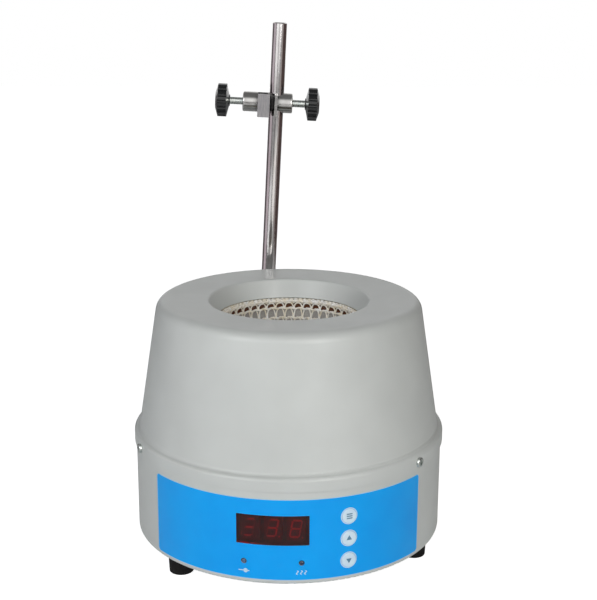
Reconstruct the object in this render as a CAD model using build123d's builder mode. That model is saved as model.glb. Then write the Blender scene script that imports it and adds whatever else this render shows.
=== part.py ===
"""Laboratory heating mantle for one round-bottom flask, with a stand rod and a two-screw clamp.

Millimetres.  +Z is up and -Y is the front, where the controls are.  The origin is on the casing's
axis, in the plane of the base pan's underside.  Azimuths are degrees from the front, positive
towards +X.
"""
from build123d import *
from math import cos, radians, sin, sqrt, tan
import os

os.makedirs("parts", exist_ok=True)

# ---- casing: base pan and upper shell ----
pan_radius = 118.6          # outside of the pan's wall
pan_wall = 1.0
pan_corner = 2.0            # outside radius of the bottom edge
pan_top = 78.0              # top edge, hidden inside the skirt
shell_wall = 1.0
skirt_gap = 0.4             # pan's wall to the inside of the skirt
skirt_radius = pan_radius + skirt_gap + shell_wall
skirt_bottom = 71.0
skirt_shoulder = 80.2       # height of the skirt's rounded shoulder
shoulder_round = 3.0
cone_inset = 4.1            # foot of the cone inside the skirt's face
cone_foot_radius = skirt_radius - cone_inset
cone_foot_rise = 1.5        # foot of the cone above the shoulder
cone_foot_round = 3.0
cone_top_radius = 100.6     # where the cone's line meets the top ring's plane
top_height = 180.2
top_round = 8.2
ring_dish = 0.9             # the top ring falls this much towards the mouth
mouth_radius = 61.5
mouth_round = 2.0
lip_radius = 55.2           # lower edge of the turned-in lip
lip_depth = 14.7
lip_height = top_height - lip_depth

# ---- heating basket and what is round it ----
flask_radius = 52.5         # 500 ml round-bottom flask
basket_wall = 3.2
basket_play = 0.6           # knit to flask
basket_gap = 0.7            # rim of the basket under the lip
row_count = 11              # rows of knitting from the rim to the bottom
row_start = 0.4             # first row below the rim, in rows
row_round = 2.1             # radius of the cord that a row reads as
loop_count = 52             # open loops between the first two rows
loop_size = (3.4, 3.2)
bowl_radius = 76.0          # inner bowl, outside
bowl_wall = 0.8
bowl_floor = 88.0
bowl_gap = 3.2              # bowl's rim below the top ring's plane
bowl_height = top_height - bowl_gap - bowl_floor
bowl_corner = 10.0
wool_play = 0.3

# ---- fasteners ----
thread_play = 0.1           # clearance hole over a screw, on the radius
m3_radius = 1.5
m4_radius = 2.0
m4_head_radius = 3.6
m4_head_height = 2.4
head_round = 0.8
cross_size = (3.4, 0.8)     # cross recess of a screw's head
cross_depth = 1.2

# ---- feet ----
foot_inset = 15.1           # foot's axis inside the pan's wall
foot_circle = pan_radius - foot_inset
foot_azimuths = (-51.0, 69.0, 189.0)
foot_height = 15.5
foot_top_radius = 9.9
foot_tip_radius = 9.1
foot_recess_radius = 4.6
foot_recess_depth = 7.0
foot_screw_reach = 4.5      # screw above the pan's floor
foot_nut_radius = 4.0
foot_nut_height = 3.2

# ---- casing screws ----
casing_screw_azimuths = (-67.6, 52.4, 172.4)
casing_screw_height = 74.9
casing_head_radius = 3.7
casing_head_height = 2.2
rivet_radius = 2.5
rivet_flange = 0.9
rivet_depth = 7.0

# ---- control label ----
label_thickness = 0.3
label_azimuths = (-54.5, 53.5)
label_bottom = 3.5
label_top = 65.1
label_corner = 3.0

# ---- display ----
display_azimuth = -5.5
window_width = 52.0
window_bottom = 30.3
window_top = 52.8
window_thickness = 2.0
window_play = 0.1
digit_width = 12.6
digit_height = 19.0
digit_depth = 8.0
digit_pitch = 16.0
digit_gap = 0.5             # window to the face of a digit block
segment_height = 14.2       # height of a figure
segment_across = 7.6        # width of a figure
segment_line = 1.6          # width of a segment
segment_sink = 0.25
segment_slant = 10.0        # degrees
display_board_width = 60.0
display_board_bottom = 4.5
display_board_top = 62.5
board_thickness = 1.6
display_stud_spacing = 54.0
display_stud_heights = (8.5, 58.5)
stud_radius = 3.0
lamp_radius = 1.9
lamp_spacing = 41.2
lamp_height = 16.9
lamp_sink = 1.3             # tip of a lamp below the label's face
lamp_tip = pan_radius + label_thickness - lamp_sink
lamp_play = 0.2

# ---- keys ----
key_azimuth = 21.1
key_heights = (49.7, 32.7, 15.8)
key_names = ("set_key", "up_key", "down_key")
key_radius = 5.4
key_play = 0.1
key_proud = 0.7             # face of a key above the label
key_flange_radius = 6.6
key_flange_thickness = 0.8
key_stem_radius = 1.7
key_stem_entry = 1.2        # stem inside its switch
key_board_depth = 10.6      # front of the key board inside the pan's face
key_board_distance = pan_radius - key_board_depth
key_board_width = 20.0
key_board_bottom = 3.4
key_board_top = 63.6
key_stud_heights = (5.9, 60.6)
key_stud_radius = 2.4
switch_side = 6.0
switch_height = 3.6
switch_bore_depth = 2.4

# ---- support posts, heat shield ----
post_circle = 58.0
post_azimuths = (-60.0, 60.0, 180.0)
post_radius = 5.0
shield_height = 73.0
shield_thickness = 1.0
shield_gap = 10.6           # shield's edge to the pan's face
shield_radius = pan_radius - shield_gap
post_screw_entry = 8.0
bowl_screw_entry = 6.0
bowl_screw_room = 4.5       # recess in the wool round a bowl screw's head
bowl_screw_rise = 4.0

# ---- power electronics on the pan's floor ----
power_board_length = 80.0
power_board_width = 60.0
power_board_y = 5.0
power_board_height = 9.0
pillar_inset = 5.0
pillar_radius = 3.0
transformer_size = (32.0, 27.0, 24.0)
transformer_place = (-20.0, 12.0)
heat_sink_size = (12.0, 40.0, 30.0)
heat_sink_place = (28.0, 5.0)
fin_count = 7
fin_gap = 3.2
triac_size = (4.4, 10.2, 16.0)
terminal_size = (30.0, 10.0, 11.0)
terminal_place = (-15.0, -16.0)
terminal_ways = 6

# ---- temperature probe and lead bushes ----
probe_radius = 1.5
probe_nut_across = 8.0
probe_nut_height = 5.0
probe_tail = 10.0
bush_radius = 4.0
bush_bore = 1.5
bush_spacing = 50.0

# ---- rear connections, on a flat pressed into the wall ----
flat_azimuth = 155.0
flat_sink = 4.4             # depth of the flat at its middle
flat_distance = pan_radius - flat_sink
flat_bottom = 8.0
flat_top = 62.0
inlet_height = 23.0
inlet_flange = (50.0, 22.5)
inlet_flange_thickness = 3.0
inlet_body = (27.0, 19.6)
inlet_body_depth = 24.0
inlet_well = (22.6, 15.2)
inlet_well_depth = 16.0
inlet_screw_spacing = 40.0
inlet_blade = (4.0, 2.0)
switch_offset = -15.0
switch_centre = 47.5
switch_bezel = (21.0, 15.0)
switch_bezel_thickness = 2.0
switch_body = (18.8, 12.6)
switch_body_depth = 14.0
rocker_size = (15.0, 9.4)
rocker_tilt = 12.0
rocker_play = 0.3
rocker_valley = 4.2         # middle of the rocker's face above its pin
rocker_slope = 0.22         # rise of its two faces outwards
fuse_offset = 15.0
fuse_centre = 47.5
fuse_radius = 6.2
fuse_depth = 24.0
fuse_flange_radius = 8.0
fuse_flange_thickness = 2.0
fuse_cap_radius = 5.6
fuse_cap_height = 8.0

# ---- stand rod and its holder ----
rod_radius = 6.0
rod_length = 360.0
rod_lean = 2.7              # degrees, towards +X going up
rod_stand_off = 8.4         # rod's axis outside the pan's wall
rod_foot = (-24.8, pan_radius + rod_stand_off, 21.0)
rod_chamfer = 0.8
rod_play = 0.05
holder_width = 26.0
holder_back_wall = 10.5     # rod's axis to the holder's back
holder_back = rod_foot[1] + holder_back_wall
holder_bottom = 14.0
holder_top = 58.0
holder_round = 9.0
holder_screw_spacing = 18.5
holder_screw_entry = 7.0
lock_screw_height = 46.0
lock_screw_radius = 3.0
lock_head_across = 10.0
lock_head_height = 4.0

# ---- clamp, in a frame on the rod's axis: x along the bar, y to the rear, z up the rod ----
clamp_height = 294.3        # bar's axis above the rod's foot, along the rod
bar_radius = 8.3
bar_left = -28.0
bar_right = 13.5
bar_round = 1.2
jaw_left = -15.4            # left wall of the jaw's slot
jaw_width = 10.0
jaw_opening = 4.2           # gap between the jaws when fully open
fixed_jaw_width = 2.2
jaw_front = -16.0
jaw_back = -6.7
jaw_low = -11.0
jaw_high = 7.4
jaw_play = 0.1
jaw_root_width = 3.2
slot_back = 3.0             # how far the slot runs in behind the bar's axis
slot_end_play = 0.6         # slot beyond the jaw's travel
clamp_screw_radius = 3.0
clamp_screw_play = 0.1
jaw_knob_end = 50.8          # outer face of the jaw's knob from the rod's axis
rod_knob_end = 35.9          # outer face of the rod screw's knob from the rod's axis
knob_grip = 8.0              # length of screw inside a knob
knob_play = 0.05
knob_width = 11.4
knob_radius = 13.6
knob_hub_radius = 4.6
knob_hub_width = 0.6
knob_slope = 2.1             # fall of a knob's faces towards its rim
knob_face_radius = 7.0       # flat middle of a knob's outer face
flute_count = 16
flute_radius = 1.7
screw_gap = 0.1             # tip of the rod's screw to the rod


def radial_plane(azimuth, distance, height):
    """Plane square to a radius: x runs round the casing, y up, z outwards."""
    turn = radians(azimuth)
    return Plane(
        origin=(distance * sin(turn), -distance * cos(turn), height),
        x_dir=(cos(turn), sin(turn), 0),
        z_dir=(sin(turn), -cos(turn), 0),
    )


def back_plane(x, y, z):
    """Plane that faces straight back, with its x along +X."""
    return Plane(origin=(x, y, z), x_dir=(1, 0, 0), z_dir=(0, 1, 0))


def polar_points(distance, azimuths):
    """Points of a circle round the casing's axis."""
    return [(distance * sin(radians(a)), -distance * cos(radians(a))) for a in azimuths]


def chord_distance(radius, half_width):
    """Distance from the axis at which a wall of this radius is so wide."""
    return sqrt(radius**2 - half_width**2)


# =====================================================================================
# Base pan: a spun pan with a flat pressed into its rear wall.
# =====================================================================================
foot_points = polar_points(foot_circle, foot_azimuths)
post_points = polar_points(post_circle, post_azimuths)
pan_inside = pan_radius - pan_wall
flat_middle = (flat_bottom + flat_top) / 2
flat_rise = flat_top - flat_bottom
window_middle = (window_bottom + window_top) / 2
window_rise = window_top - window_bottom
key_hole_radius = key_radius + key_play
lamp_hole_radius = lamp_radius + lamp_play


def pan_block(inset):
    """The pan's outside (inset 0) or its hollow (inset = wall), as a solid."""
    with BuildPart() as block:
        with BuildSketch(Plane.XY.offset(inset)):
            Circle(pan_radius - inset)
        extrude(amount=pan_top - inset)
        fillet(block.edges().sort_by(Axis.Z)[0], pan_corner - 0.9 * inset)
        with BuildSketch(radial_plane(flat_azimuth, flat_distance - inset, flat_middle)):
            Rectangle(pan_radius, flat_rise + 2 * inset)
        extrude(amount=pan_radius - flat_distance + 2 * inset, mode=Mode.SUBTRACT)
    return block.part


with BuildPart() as base_pan:
    add(pan_block(0))
    add(pan_block(pan_wall), mode=Mode.SUBTRACT)
    # display window, lamps and keys
    with BuildSketch(radial_plane(display_azimuth, pan_radius / 2, window_middle)):
        Rectangle(window_width, window_rise)
    extrude(amount=pan_radius, mode=Mode.SUBTRACT)
    with BuildSketch(radial_plane(display_azimuth, pan_radius / 2, lamp_height)):
        with GridLocations(lamp_spacing, 0, 2, 1):
            Circle(lamp_hole_radius)
    extrude(amount=pan_radius, mode=Mode.SUBTRACT)
    for height in key_heights:
        with BuildSketch(radial_plane(key_azimuth, pan_radius / 2, height)):
            Circle(key_hole_radius)
        extrude(amount=pan_radius, mode=Mode.SUBTRACT)
    # rivet nuts for the casing screws
    for azimuth in casing_screw_azimuths:
        with BuildSketch(radial_plane(azimuth, pan_radius / 2, casing_screw_height)):
            Circle(rivet_radius)
        extrude(amount=pan_radius, mode=Mode.SUBTRACT)
    # rear connections
    rear_flat = radial_plane(flat_azimuth, flat_distance - 2 * pan_wall, 0)
    with BuildSketch(rear_flat):
        with Locations((0, inlet_height)):
            Rectangle(*inlet_body)
        with Locations(
            (-inlet_screw_spacing / 2, inlet_height), (inlet_screw_spacing / 2, inlet_height)
        ):
            Circle(m3_radius + thread_play)
        with Locations((switch_offset, switch_centre)):
            Rectangle(*switch_body)
        with Locations((fuse_offset, fuse_centre)):
            Circle(fuse_radius)
    extrude(amount=pan_radius, mode=Mode.SUBTRACT)
    # floor: feet, posts and three fans of air slots
    with BuildSketch(Plane.XY):
        with Locations(*foot_points, *post_points):
            Circle(m4_radius + thread_play)
        for azimuth in post_azimuths:
            for step in (-24, -16, -8, 8, 16, 24):
                with PolarLocations(80, 1, start_angle=azimuth - 90 + step):
                    SlotOverall(24, 4)
    extrude(amount=pan_wall, mode=Mode.SUBTRACT)
    # holes for the screws of the rod's holder
    rod_tilt = radians(rod_lean)
    holder_x = rod_foot[0] + (holder_bottom + holder_top - 2 * rod_foot[2]) / 2 * tan(rod_tilt)
    holder_middle = (holder_bottom + holder_top) / 2
    with BuildSketch(back_plane(holder_x, pan_radius / 2, holder_middle)):
        with GridLocations(holder_screw_spacing, 0, 2, 1):
            Circle(m4_radius + thread_play)
    extrude(amount=pan_radius, mode=Mode.SUBTRACT)
base_pan.part.label = "base_pan"
export_step(base_pan.part, "parts/base_pan.step")

# =====================================================================================
# Feet: tapered rubber, each on one screw and nut.
# =====================================================================================
foot_screw_tip = pan_wall + foot_screw_reach
with BuildPart() as rubber_feet:
    with Locations(*foot_points):
        Cone(
            foot_tip_radius,
            foot_top_radius,
            foot_height,
            align=(Align.CENTER, Align.CENTER, Align.MAX),
        )
    soles = rubber_feet.faces().group_by(Axis.Z)[0]
    fillet(soles.edges(), 0.8)
    with BuildSketch(Plane.XY.offset(-foot_height)):
        with Locations(*foot_points):
            Circle(foot_recess_radius)
    extrude(amount=foot_recess_depth, mode=Mode.SUBTRACT)
    with BuildSketch(Plane.XY.offset(-foot_height)):
        with Locations(*foot_points):
            Circle(m4_radius + thread_play)
    extrude(amount=foot_height, mode=Mode.SUBTRACT)
rubber_feet.part.label = "rubber_feet"
export_step(rubber_feet.part, "parts/rubber_feet.step")


def pan_head_screws(places, tip, seat, direction=1):
    """Screws along Z with their heads' undersides at seat and their ends at tip."""
    with BuildPart() as screws:
        with BuildSketch(Plane.XY.offset(seat)):
            with Locations(*places):
                Circle(m4_radius)
        extrude(amount=tip - seat)
        with BuildSketch(Plane.XY.offset(seat)):
            with Locations(*places):
                Circle(m4_head_radius)
        extrude(amount=-direction * m4_head_height)
        heads = screws.faces().sort_by(Axis.Z, reverse=direction < 0)[: len(places)]
        fillet(heads.edges(), head_round)
        with BuildSketch(Plane.XY.offset(seat - direction * m4_head_height)):
            with Locations(*places):
                Rectangle(*cross_size)
                Rectangle(*reversed(cross_size))
        extrude(amount=direction * cross_depth, mode=Mode.SUBTRACT)
    return screws.part


foot_screws = pan_head_screws(foot_points, foot_screw_tip, foot_recess_depth - foot_height)
foot_screws.label = "foot_screws"
export_step(foot_screws, "parts/foot_screws.step")

with BuildPart() as foot_nuts:
    with BuildSketch(Plane.XY.offset(pan_wall)):
        with Locations(*foot_points):
            RegularPolygon(foot_nut_radius, 6)
            Circle(m4_radius, mode=Mode.SUBTRACT)
    extrude(amount=foot_nut_height)
foot_nuts.part.label = "foot_nuts"
export_step(foot_nuts.part, "parts/foot_nuts.step")

# =====================================================================================
# Upper shell: one spinning, with a skirt over the pan, a cone, a flat top and a lip.
# =====================================================================================
with BuildPart() as upper_shell:
    with BuildSketch(Plane.XZ):
        with BuildLine():
            skirt_line = Polyline(
                (skirt_radius, skirt_bottom),
                (skirt_radius, skirt_shoulder),
                (cone_foot_radius, skirt_shoulder + cone_foot_rise),
                (cone_top_radius, top_height),
                (mouth_radius, top_height - ring_dish),
                (lip_radius, lip_height),
            )
            corners = skirt_line.vertices()
            fillet(corners[1], shoulder_round)
            fillet(corners[2], cone_foot_round)
            fillet(corners[3], top_round)
            fillet(corners[4], mouth_round)
            offset(amount=shell_wall, side=Side.LEFT)
        make_face()
    revolve(axis=Axis.Z)
    for azimuth in casing_screw_azimuths:
        with BuildSketch(radial_plane(azimuth, pan_radius, casing_screw_height)):
            Circle(m3_radius + thread_play)
        extrude(amount=skirt_radius - pan_radius, mode=Mode.SUBTRACT)
upper_shell.part.label = "upper_shell"
export_step(upper_shell.part, "parts/upper_shell.step")


def casing_rounds(inner, outer, radius):
    """A round piece on each casing screw's axis, between two distances from the casing's axis."""
    with BuildPart() as rounds:
        for azimuth in casing_screw_azimuths:
            with BuildSketch(radial_plane(azimuth, inner, casing_screw_height)):
                Circle(radius)
            extrude(amount=outer - inner)
    return rounds.part


def casing_ring(inner, outer):
    """A tall ring round the casing's axis, used to trim pieces to a wall."""
    with BuildPart() as ring:
        with BuildSketch(Plane.XY):
            Circle(outer)
            Circle(inner, mode=Mode.SUBTRACT)
        extrude(amount=top_height)
    return ring.part


casing_head_top = skirt_radius + casing_head_height
with BuildPart() as casing_screws:
    add(casing_rounds(skirt_radius, casing_head_top, casing_head_radius))
    for azimuth in casing_screw_azimuths:
        with BuildSketch(radial_plane(azimuth, casing_head_top, casing_screw_height)):
            Rectangle(4.0, 0.9)
            Rectangle(0.9, 4.0)
        extrude(amount=-1.1, mode=Mode.SUBTRACT)
        rim = casing_screws.edges().filter_by(GeomType.CIRCLE).sort_by_distance(
            radial_plane(azimuth, casing_head_top, casing_screw_height).origin
        )[0]
        fillet(rim, 1.2)
    add(casing_rounds(pan_radius - rivet_depth + 1, skirt_radius, m3_radius))
casing_screws.part.label = "casing_screws"
export_step(casing_screws.part, "parts/casing_screws.step")

with BuildPart() as rivet_nuts:
    add(casing_rounds(pan_radius - rivet_depth, pan_radius, rivet_radius))
    add(casing_rounds(pan_inside - rivet_flange - 0.4, pan_inside, rivet_radius + rivet_flange))
    add(casing_ring(pan_radius, skirt_radius), mode=Mode.SUBTRACT)
    with BuildPart(mode=Mode.PRIVATE) as flange_limit:
        add(casing_ring(pan_inside, pan_radius))
        add(casing_rounds(pan_radius - rivet_depth, pan_radius, rivet_radius), mode=Mode.SUBTRACT)
    add(flange_limit.part, mode=Mode.SUBTRACT)
    add(casing_rounds(pan_radius - rivet_depth, pan_radius, m3_radius), mode=Mode.SUBTRACT)
rivet_nuts.part.label = "rivet_nuts"
export_step(rivet_nuts.part, "parts/rivet_nuts.step")

# =====================================================================================
# Control label: printed film round the pan's wall, open over the window, lamps and keys.
# =====================================================================================
label_outside = pan_radius + label_thickness
label_start, label_end = label_azimuths
with BuildPart() as control_label:
    with BuildSketch(Plane.XY.offset(label_bottom)):
        with BuildLine():
            outer = CenterArc((0, 0), label_outside, label_start - 90, label_end - label_start)
            inner = CenterArc((0, 0), pan_radius, label_start - 90, label_end - label_start)
            Line(outer @ 0, inner @ 0)
            Line(outer @ 1, inner @ 1)
        make_face()
    extrude(amount=label_top - label_bottom)
    short_edges = control_label.edges().filter_by(lambda e: abs(e.length - label_thickness) < 0.01)
    fillet(short_edges, label_corner)
    with BuildSketch(radial_plane(display_azimuth, pan_radius / 2, window_middle)):
        Rectangle(window_width, window_rise)
    extrude(amount=pan_radius, mode=Mode.SUBTRACT)
    with BuildSketch(radial_plane(display_azimuth, pan_radius / 2, lamp_height)):
        with GridLocations(lamp_spacing, 0, 2, 1):
            Circle(lamp_hole_radius)
    extrude(amount=pan_radius, mode=Mode.SUBTRACT)
    for height in key_heights:
        with BuildSketch(radial_plane(key_azimuth, pan_radius / 2, height)):
            Circle(key_hole_radius)
        extrude(amount=pan_radius, mode=Mode.SUBTRACT)
control_label.part.label = "control_label"
export_step(control_label.part, "parts/control_label.step")

# =====================================================================================
# Display: curved filter window, three slanted digit blocks and two lamps on one board.
# =====================================================================================
window_inside = label_outside - window_thickness
with BuildPart() as display_window:
    with BuildSketch(radial_plane(display_azimuth, pan_radius / 2, window_middle)):
        Rectangle(window_width - 2 * window_play, window_rise - 2 * window_play)
        fillet(vertices(), 0.6)
    extrude(amount=pan_radius)
    add(casing_ring(window_inside, label_outside), mode=Mode.INTERSECT)
display_window.part.label = "display_window"
export_step(display_window.part, "parts/display_window.step")

digit_front = chord_distance(window_inside, window_width / 2) - digit_gap
display_board_front = digit_front - digit_depth
display_board_middle = (display_board_bottom + display_board_top) / 2
digit_names = ("digit_left", "digit_middle", "digit_right")


def figure_segments():
    """Centre, length and direction (True = upright) of the seven segments of a figure."""
    across = segment_across - segment_line
    half_rise = (segment_height - segment_line) / 2
    flats = [((0, level), across - segment_line, False) for level in (-half_rise, 0, half_rise)]
    uprights = [
        ((side * across / 2, level * half_rise / 2), half_rise - segment_line, True)
        for side in (-1, 1)
        for level in (-1, 1)
    ]
    return flats + uprights


for step, name in enumerate(digit_names):
    offset_x = (step - 1) * digit_pitch
    face = radial_plane(display_azimuth, digit_front, window_middle)
    face = Plane(face.origin + face.x_dir * offset_x, face.x_dir, face.z_dir)
    slant = tan(radians(segment_slant))
    with BuildPart() as digit:
        with BuildSketch(face):
            Rectangle(digit_width, digit_height)
        extrude(amount=-digit_depth)
        with BuildSketch(face):
            for (x, y), length, upright in figure_segments():
                with Locations(Location((x + y * slant, y), -segment_slant if upright else 0)):
                    if upright:
                        SlotCenterToCenter(length, segment_line, rotation=90)
                    else:
                        SlotCenterToCenter(length, segment_line)
            with Locations((segment_across / 2 + 0.6, -segment_height / 2 + 0.7)):
                Circle(0.8)
        extrude(amount=-segment_sink, mode=Mode.SUBTRACT)
    digit.part.label = name
    export_step(digit.part, f"parts/{name}.step")

for side, name in ((-1, "set_lamp"), (1, "heat_lamp")):
    base = radial_plane(display_azimuth, display_board_front, lamp_height)
    base = Plane(base.origin + base.x_dir * side * lamp_spacing / 2, base.x_dir, base.z_dir)
    with BuildPart() as lamp:
        with BuildSketch(base):
            Circle(lamp_radius)
        extrude(amount=lamp_tip - display_board_front)
        dome = lamp.faces().sort_by(Axis(base.origin, base.z_dir))[-1]
        fillet(dome.edges(), lamp_radius - 0.3)
        with BuildSketch(base):
            Circle(lamp_radius + 0.5)
        extrude(amount=1.0)
    lamp.part.label = name
    export_step(lamp.part, f"parts/{name}.step")


def stud_set(azimuth, front, height, spots, radius):
    """Studs welded inside the pan's wall, with a board screwed to their ends at front."""
    with BuildPart() as studs:
        with BuildSketch(radial_plane(azimuth, front, height)):
            with Locations(*spots):
                Circle(radius)
        extrude(amount=pan_radius - front)
        with BuildPart(mode=Mode.PRIVATE) as inside:
            with BuildSketch(Plane.XY):
                Circle(pan_inside)
            extrude(amount=top_height)
        add(inside.part, mode=Mode.INTERSECT)
        with BuildSketch(radial_plane(azimuth, front, height)):
            with Locations(*spots):
                Circle(m3_radius)
        extrude(amount=5.0, mode=Mode.SUBTRACT)
    return studs.part


display_stud_middle = sum(display_stud_heights) / 2
display_stud_spots = [
    (side * display_stud_spacing / 2, height - display_stud_middle)
    for side in (-1, 1)
    for height in display_stud_heights
]
key_stud_middle = sum(key_stud_heights) / 2
key_stud_spots = [(0, height - key_stud_middle) for height in key_stud_heights]

display_studs = stud_set(
    display_azimuth, display_board_front, display_stud_middle, display_stud_spots, stud_radius
)
display_studs.label = "display_studs"
export_step(display_studs, "parts/display_studs.step")

with BuildPart() as display_board:
    with BuildSketch(radial_plane(display_azimuth, display_board_front, display_board_middle)):
        RectangleRounded(display_board_width, display_board_top - display_board_bottom, 2.0)
    extrude(amount=-board_thickness)
    with BuildSketch(radial_plane(display_azimuth, display_board_front, display_stud_middle)):
        with Locations(*display_stud_spots):
            Circle(m3_radius + thread_play)
    extrude(amount=-board_thickness, mode=Mode.SUBTRACT)
display_board.part.label = "display_board"
export_step(display_board.part, "parts/display_board.step")

# =====================================================================================
# Keys: three moulded buttons through the pan and the label, each on a switch of its board.
# =====================================================================================
key_face = label_outside + key_proud
key_flange_back = chord_distance(pan_inside, key_flange_radius) - key_flange_thickness - key_play
switch_front = key_board_distance + switch_height
for name, height in zip(key_names, key_heights):
    with BuildPart() as key:
        with BuildSketch(radial_plane(key_azimuth, key_flange_back, height)):
            Circle(key_radius)
        extrude(amount=key_face - key_flange_back)
        key_axis = Axis(key.part.center(), radial_plane(key_azimuth, 0, 0).z_dir)
        fillet(key.edges().sort_by(key_axis)[-1], 0.5)
        with BuildSketch(radial_plane(key_azimuth, key_flange_back, height)):
            Circle(key_flange_radius)
        extrude(amount=key_flange_thickness)
        with BuildSketch(radial_plane(key_azimuth, switch_front - key_stem_entry, height)):
            Circle(key_stem_radius)
        extrude(amount=key_flange_back - switch_front + key_stem_entry)
    key.part.label = name
    export_step(key.part, f"parts/{name}.step")

with BuildPart() as key_switches:
    for height in key_heights:
        with BuildSketch(radial_plane(key_azimuth, key_board_distance, height)):
            Rectangle(switch_side, switch_side)
        extrude(amount=switch_height)
        with BuildSketch(radial_plane(key_azimuth, switch_front, height)):
            Circle(key_stem_radius + key_play)
        extrude(amount=-switch_bore_depth, mode=Mode.SUBTRACT)
key_switches.part.label = "key_switches"
export_step(key_switches.part, "parts/key_switches.step")

key_studs = stud_set(key_azimuth, key_board_distance, key_stud_middle, key_stud_spots, key_stud_radius)
key_studs.label = "key_studs"
export_step(key_studs, "parts/key_studs.step")

key_board_middle = (key_board_bottom + key_board_top) / 2
with BuildPart() as key_board:
    with BuildSketch(radial_plane(key_azimuth, key_board_distance, key_board_middle)):
        RectangleRounded(key_board_width, key_board_top - key_board_bottom, 2.0)
    extrude(amount=-board_thickness)
    with BuildSketch(radial_plane(key_azimuth, key_board_distance, key_stud_middle)):
        with Locations(*key_stud_spots):
            Circle(m3_radius + thread_play)
    extrude(amount=-board_thickness, mode=Mode.SUBTRACT)
key_board.part.label = "key_board"
export_step(key_board.part, "parts/key_board.step")

with BuildPart() as board_screws:
    for azimuth, front, height, spots in (
        (display_azimuth, display_board_front, display_stud_middle, display_stud_spots),
        (key_azimuth, key_board_distance, key_stud_middle, key_stud_spots),
    ):
        with BuildSketch(radial_plane(azimuth, front - board_thickness, height)):
            with Locations(*spots):
                Circle(2.0)
        extrude(amount=-1.8)
        with BuildSketch(radial_plane(azimuth, front - board_thickness, height)):
            with Locations(*spots):
                Circle(m3_radius)
        extrude(amount=board_thickness + 4.5)
board_screws.part.label = "board_screws"
export_step(board_screws.part, "parts/board_screws.step")

# =====================================================================================
# Posts, heat shield and inner bowl: the stack that carries the heater.
# =====================================================================================


def post_set(bottom, top):
    """Round posts on the post circle, tapped from both ends."""
    with BuildPart() as posts:
        with BuildSketch(Plane.XY.offset(bottom)):
            with Locations(*post_points):
                Circle(post_radius)
                Circle(m4_radius, mode=Mode.SUBTRACT)
        extrude(amount=top - bottom)
    return posts.part


shield_top = shield_height + shield_thickness
lower_posts = post_set(pan_wall, shield_height)
lower_posts.label = "lower_posts"
export_step(lower_posts, "parts/lower_posts.step")
upper_posts = post_set(shield_top, bowl_floor)
upper_posts.label = "upper_posts"
export_step(upper_posts, "parts/upper_posts.step")

bush_points = [(-bush_spacing / 2, 0), (bush_spacing / 2, 0)]
with BuildPart() as heat_shield:
    with BuildSketch(Plane.XY.offset(shield_height)):
        Circle(shield_radius)
        with Locations(*post_points):
            Circle(m4_radius + thread_play, mode=Mode.SUBTRACT)
        with Locations(*bush_points, (0, 0)):
            Circle(bush_radius, mode=Mode.SUBTRACT)
    extrude(amount=shield_thickness)
heat_shield.part.label = "heat_shield"
export_step(heat_shield.part, "parts/heat_shield.step")

with BuildPart() as inner_bowl:
    with BuildSketch(Plane.XZ):
        with BuildLine():
            bowl_line = Polyline(
                (0, bowl_floor), (bowl_radius, bowl_floor), (bowl_radius, bowl_floor + bowl_height)
            )
            fillet(bowl_line.vertices()[1], bowl_corner)
            offset(amount=bowl_wall, side=Side.LEFT)
        make_face()
    revolve(axis=Axis.Z)
    with BuildSketch(Plane.XY.offset(bowl_floor)):
        with Locations(*post_points):
            Circle(m4_radius + thread_play)
        with Locations(*bush_points):
            Circle(bush_radius)
        Circle(probe_radius + thread_play)
    extrude(amount=bowl_wall, mode=Mode.SUBTRACT)
inner_bowl.part.label = "inner_bowl"
export_step(inner_bowl.part, "parts/inner_bowl.step")

bowl_inside = bowl_floor + bowl_wall
bowl_screw_seat = bowl_inside
with BuildPart() as post_screws:
    add(pan_head_screws(post_points, pan_wall + post_screw_entry, 0.0))
post_screws.part.label = "post_screws"
export_step(post_screws.part, "parts/post_screws.step")

with BuildPart() as bowl_screws:
    add(pan_head_screws(post_points, shield_height - bowl_screw_entry, bowl_screw_seat, direction=-1))
bowl_screws.part.label = "bowl_screws"
export_step(bowl_screws.part, "parts/bowl_screws.step")

# =====================================================================================
# Heater basket: a hemisphere knitted from glass yarn in rows of round cords, with the
# heating wire behind it, and one row of open loops under its rim.
# =====================================================================================
basket_inside = flask_radius + basket_play
basket_outside = basket_inside + basket_wall
basket_rim = lip_height - basket_gap
row_arc = 90 / row_count
loop_height = basket_rim - (basket_inside + basket_outside) / 2 * sin(radians((row_start + 0.5) * row_arc))
with BuildPart() as heater_basket:
    with BuildSketch(Plane.XZ):
        with BuildLine():
            outside = CenterArc((0, basket_rim), basket_outside, -90, 90)
            inside = CenterArc((0, basket_rim), basket_inside + row_round / 2, -90, 90)
            Line(outside @ 0, inside @ 0)
            Line(outside @ 1, inside @ 1)
        make_face()
        # each round of knitting lies as a round cord on the wall
        for row in range(row_count):
            turn = radians(row_arc * (row + row_start))
            reach = basket_inside + row_round
            with Locations((reach * cos(turn), basket_rim - reach * sin(turn))):
                Circle(row_round)
        with Locations((0, basket_rim)):
            Circle(basket_outside, mode=Mode.INTERSECT)
        with Locations((0, basket_rim + basket_outside / 2)):
            Rectangle(3 * basket_outside, basket_outside, mode=Mode.SUBTRACT)
        with Locations((-basket_outside, basket_rim)):
            Rectangle(2 * basket_outside, 3 * basket_outside, mode=Mode.SUBTRACT)
    revolve(axis=Axis.Z)
    with Locations((0, 0, loop_height)):
        with PolarLocations(basket_outside, loop_count):
            Box(4 * basket_wall, *loop_size, mode=Mode.SUBTRACT)
heater_basket.part.label = "heater_basket"
export_step(heater_basket.part, "parts/heater_basket.step")

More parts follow.
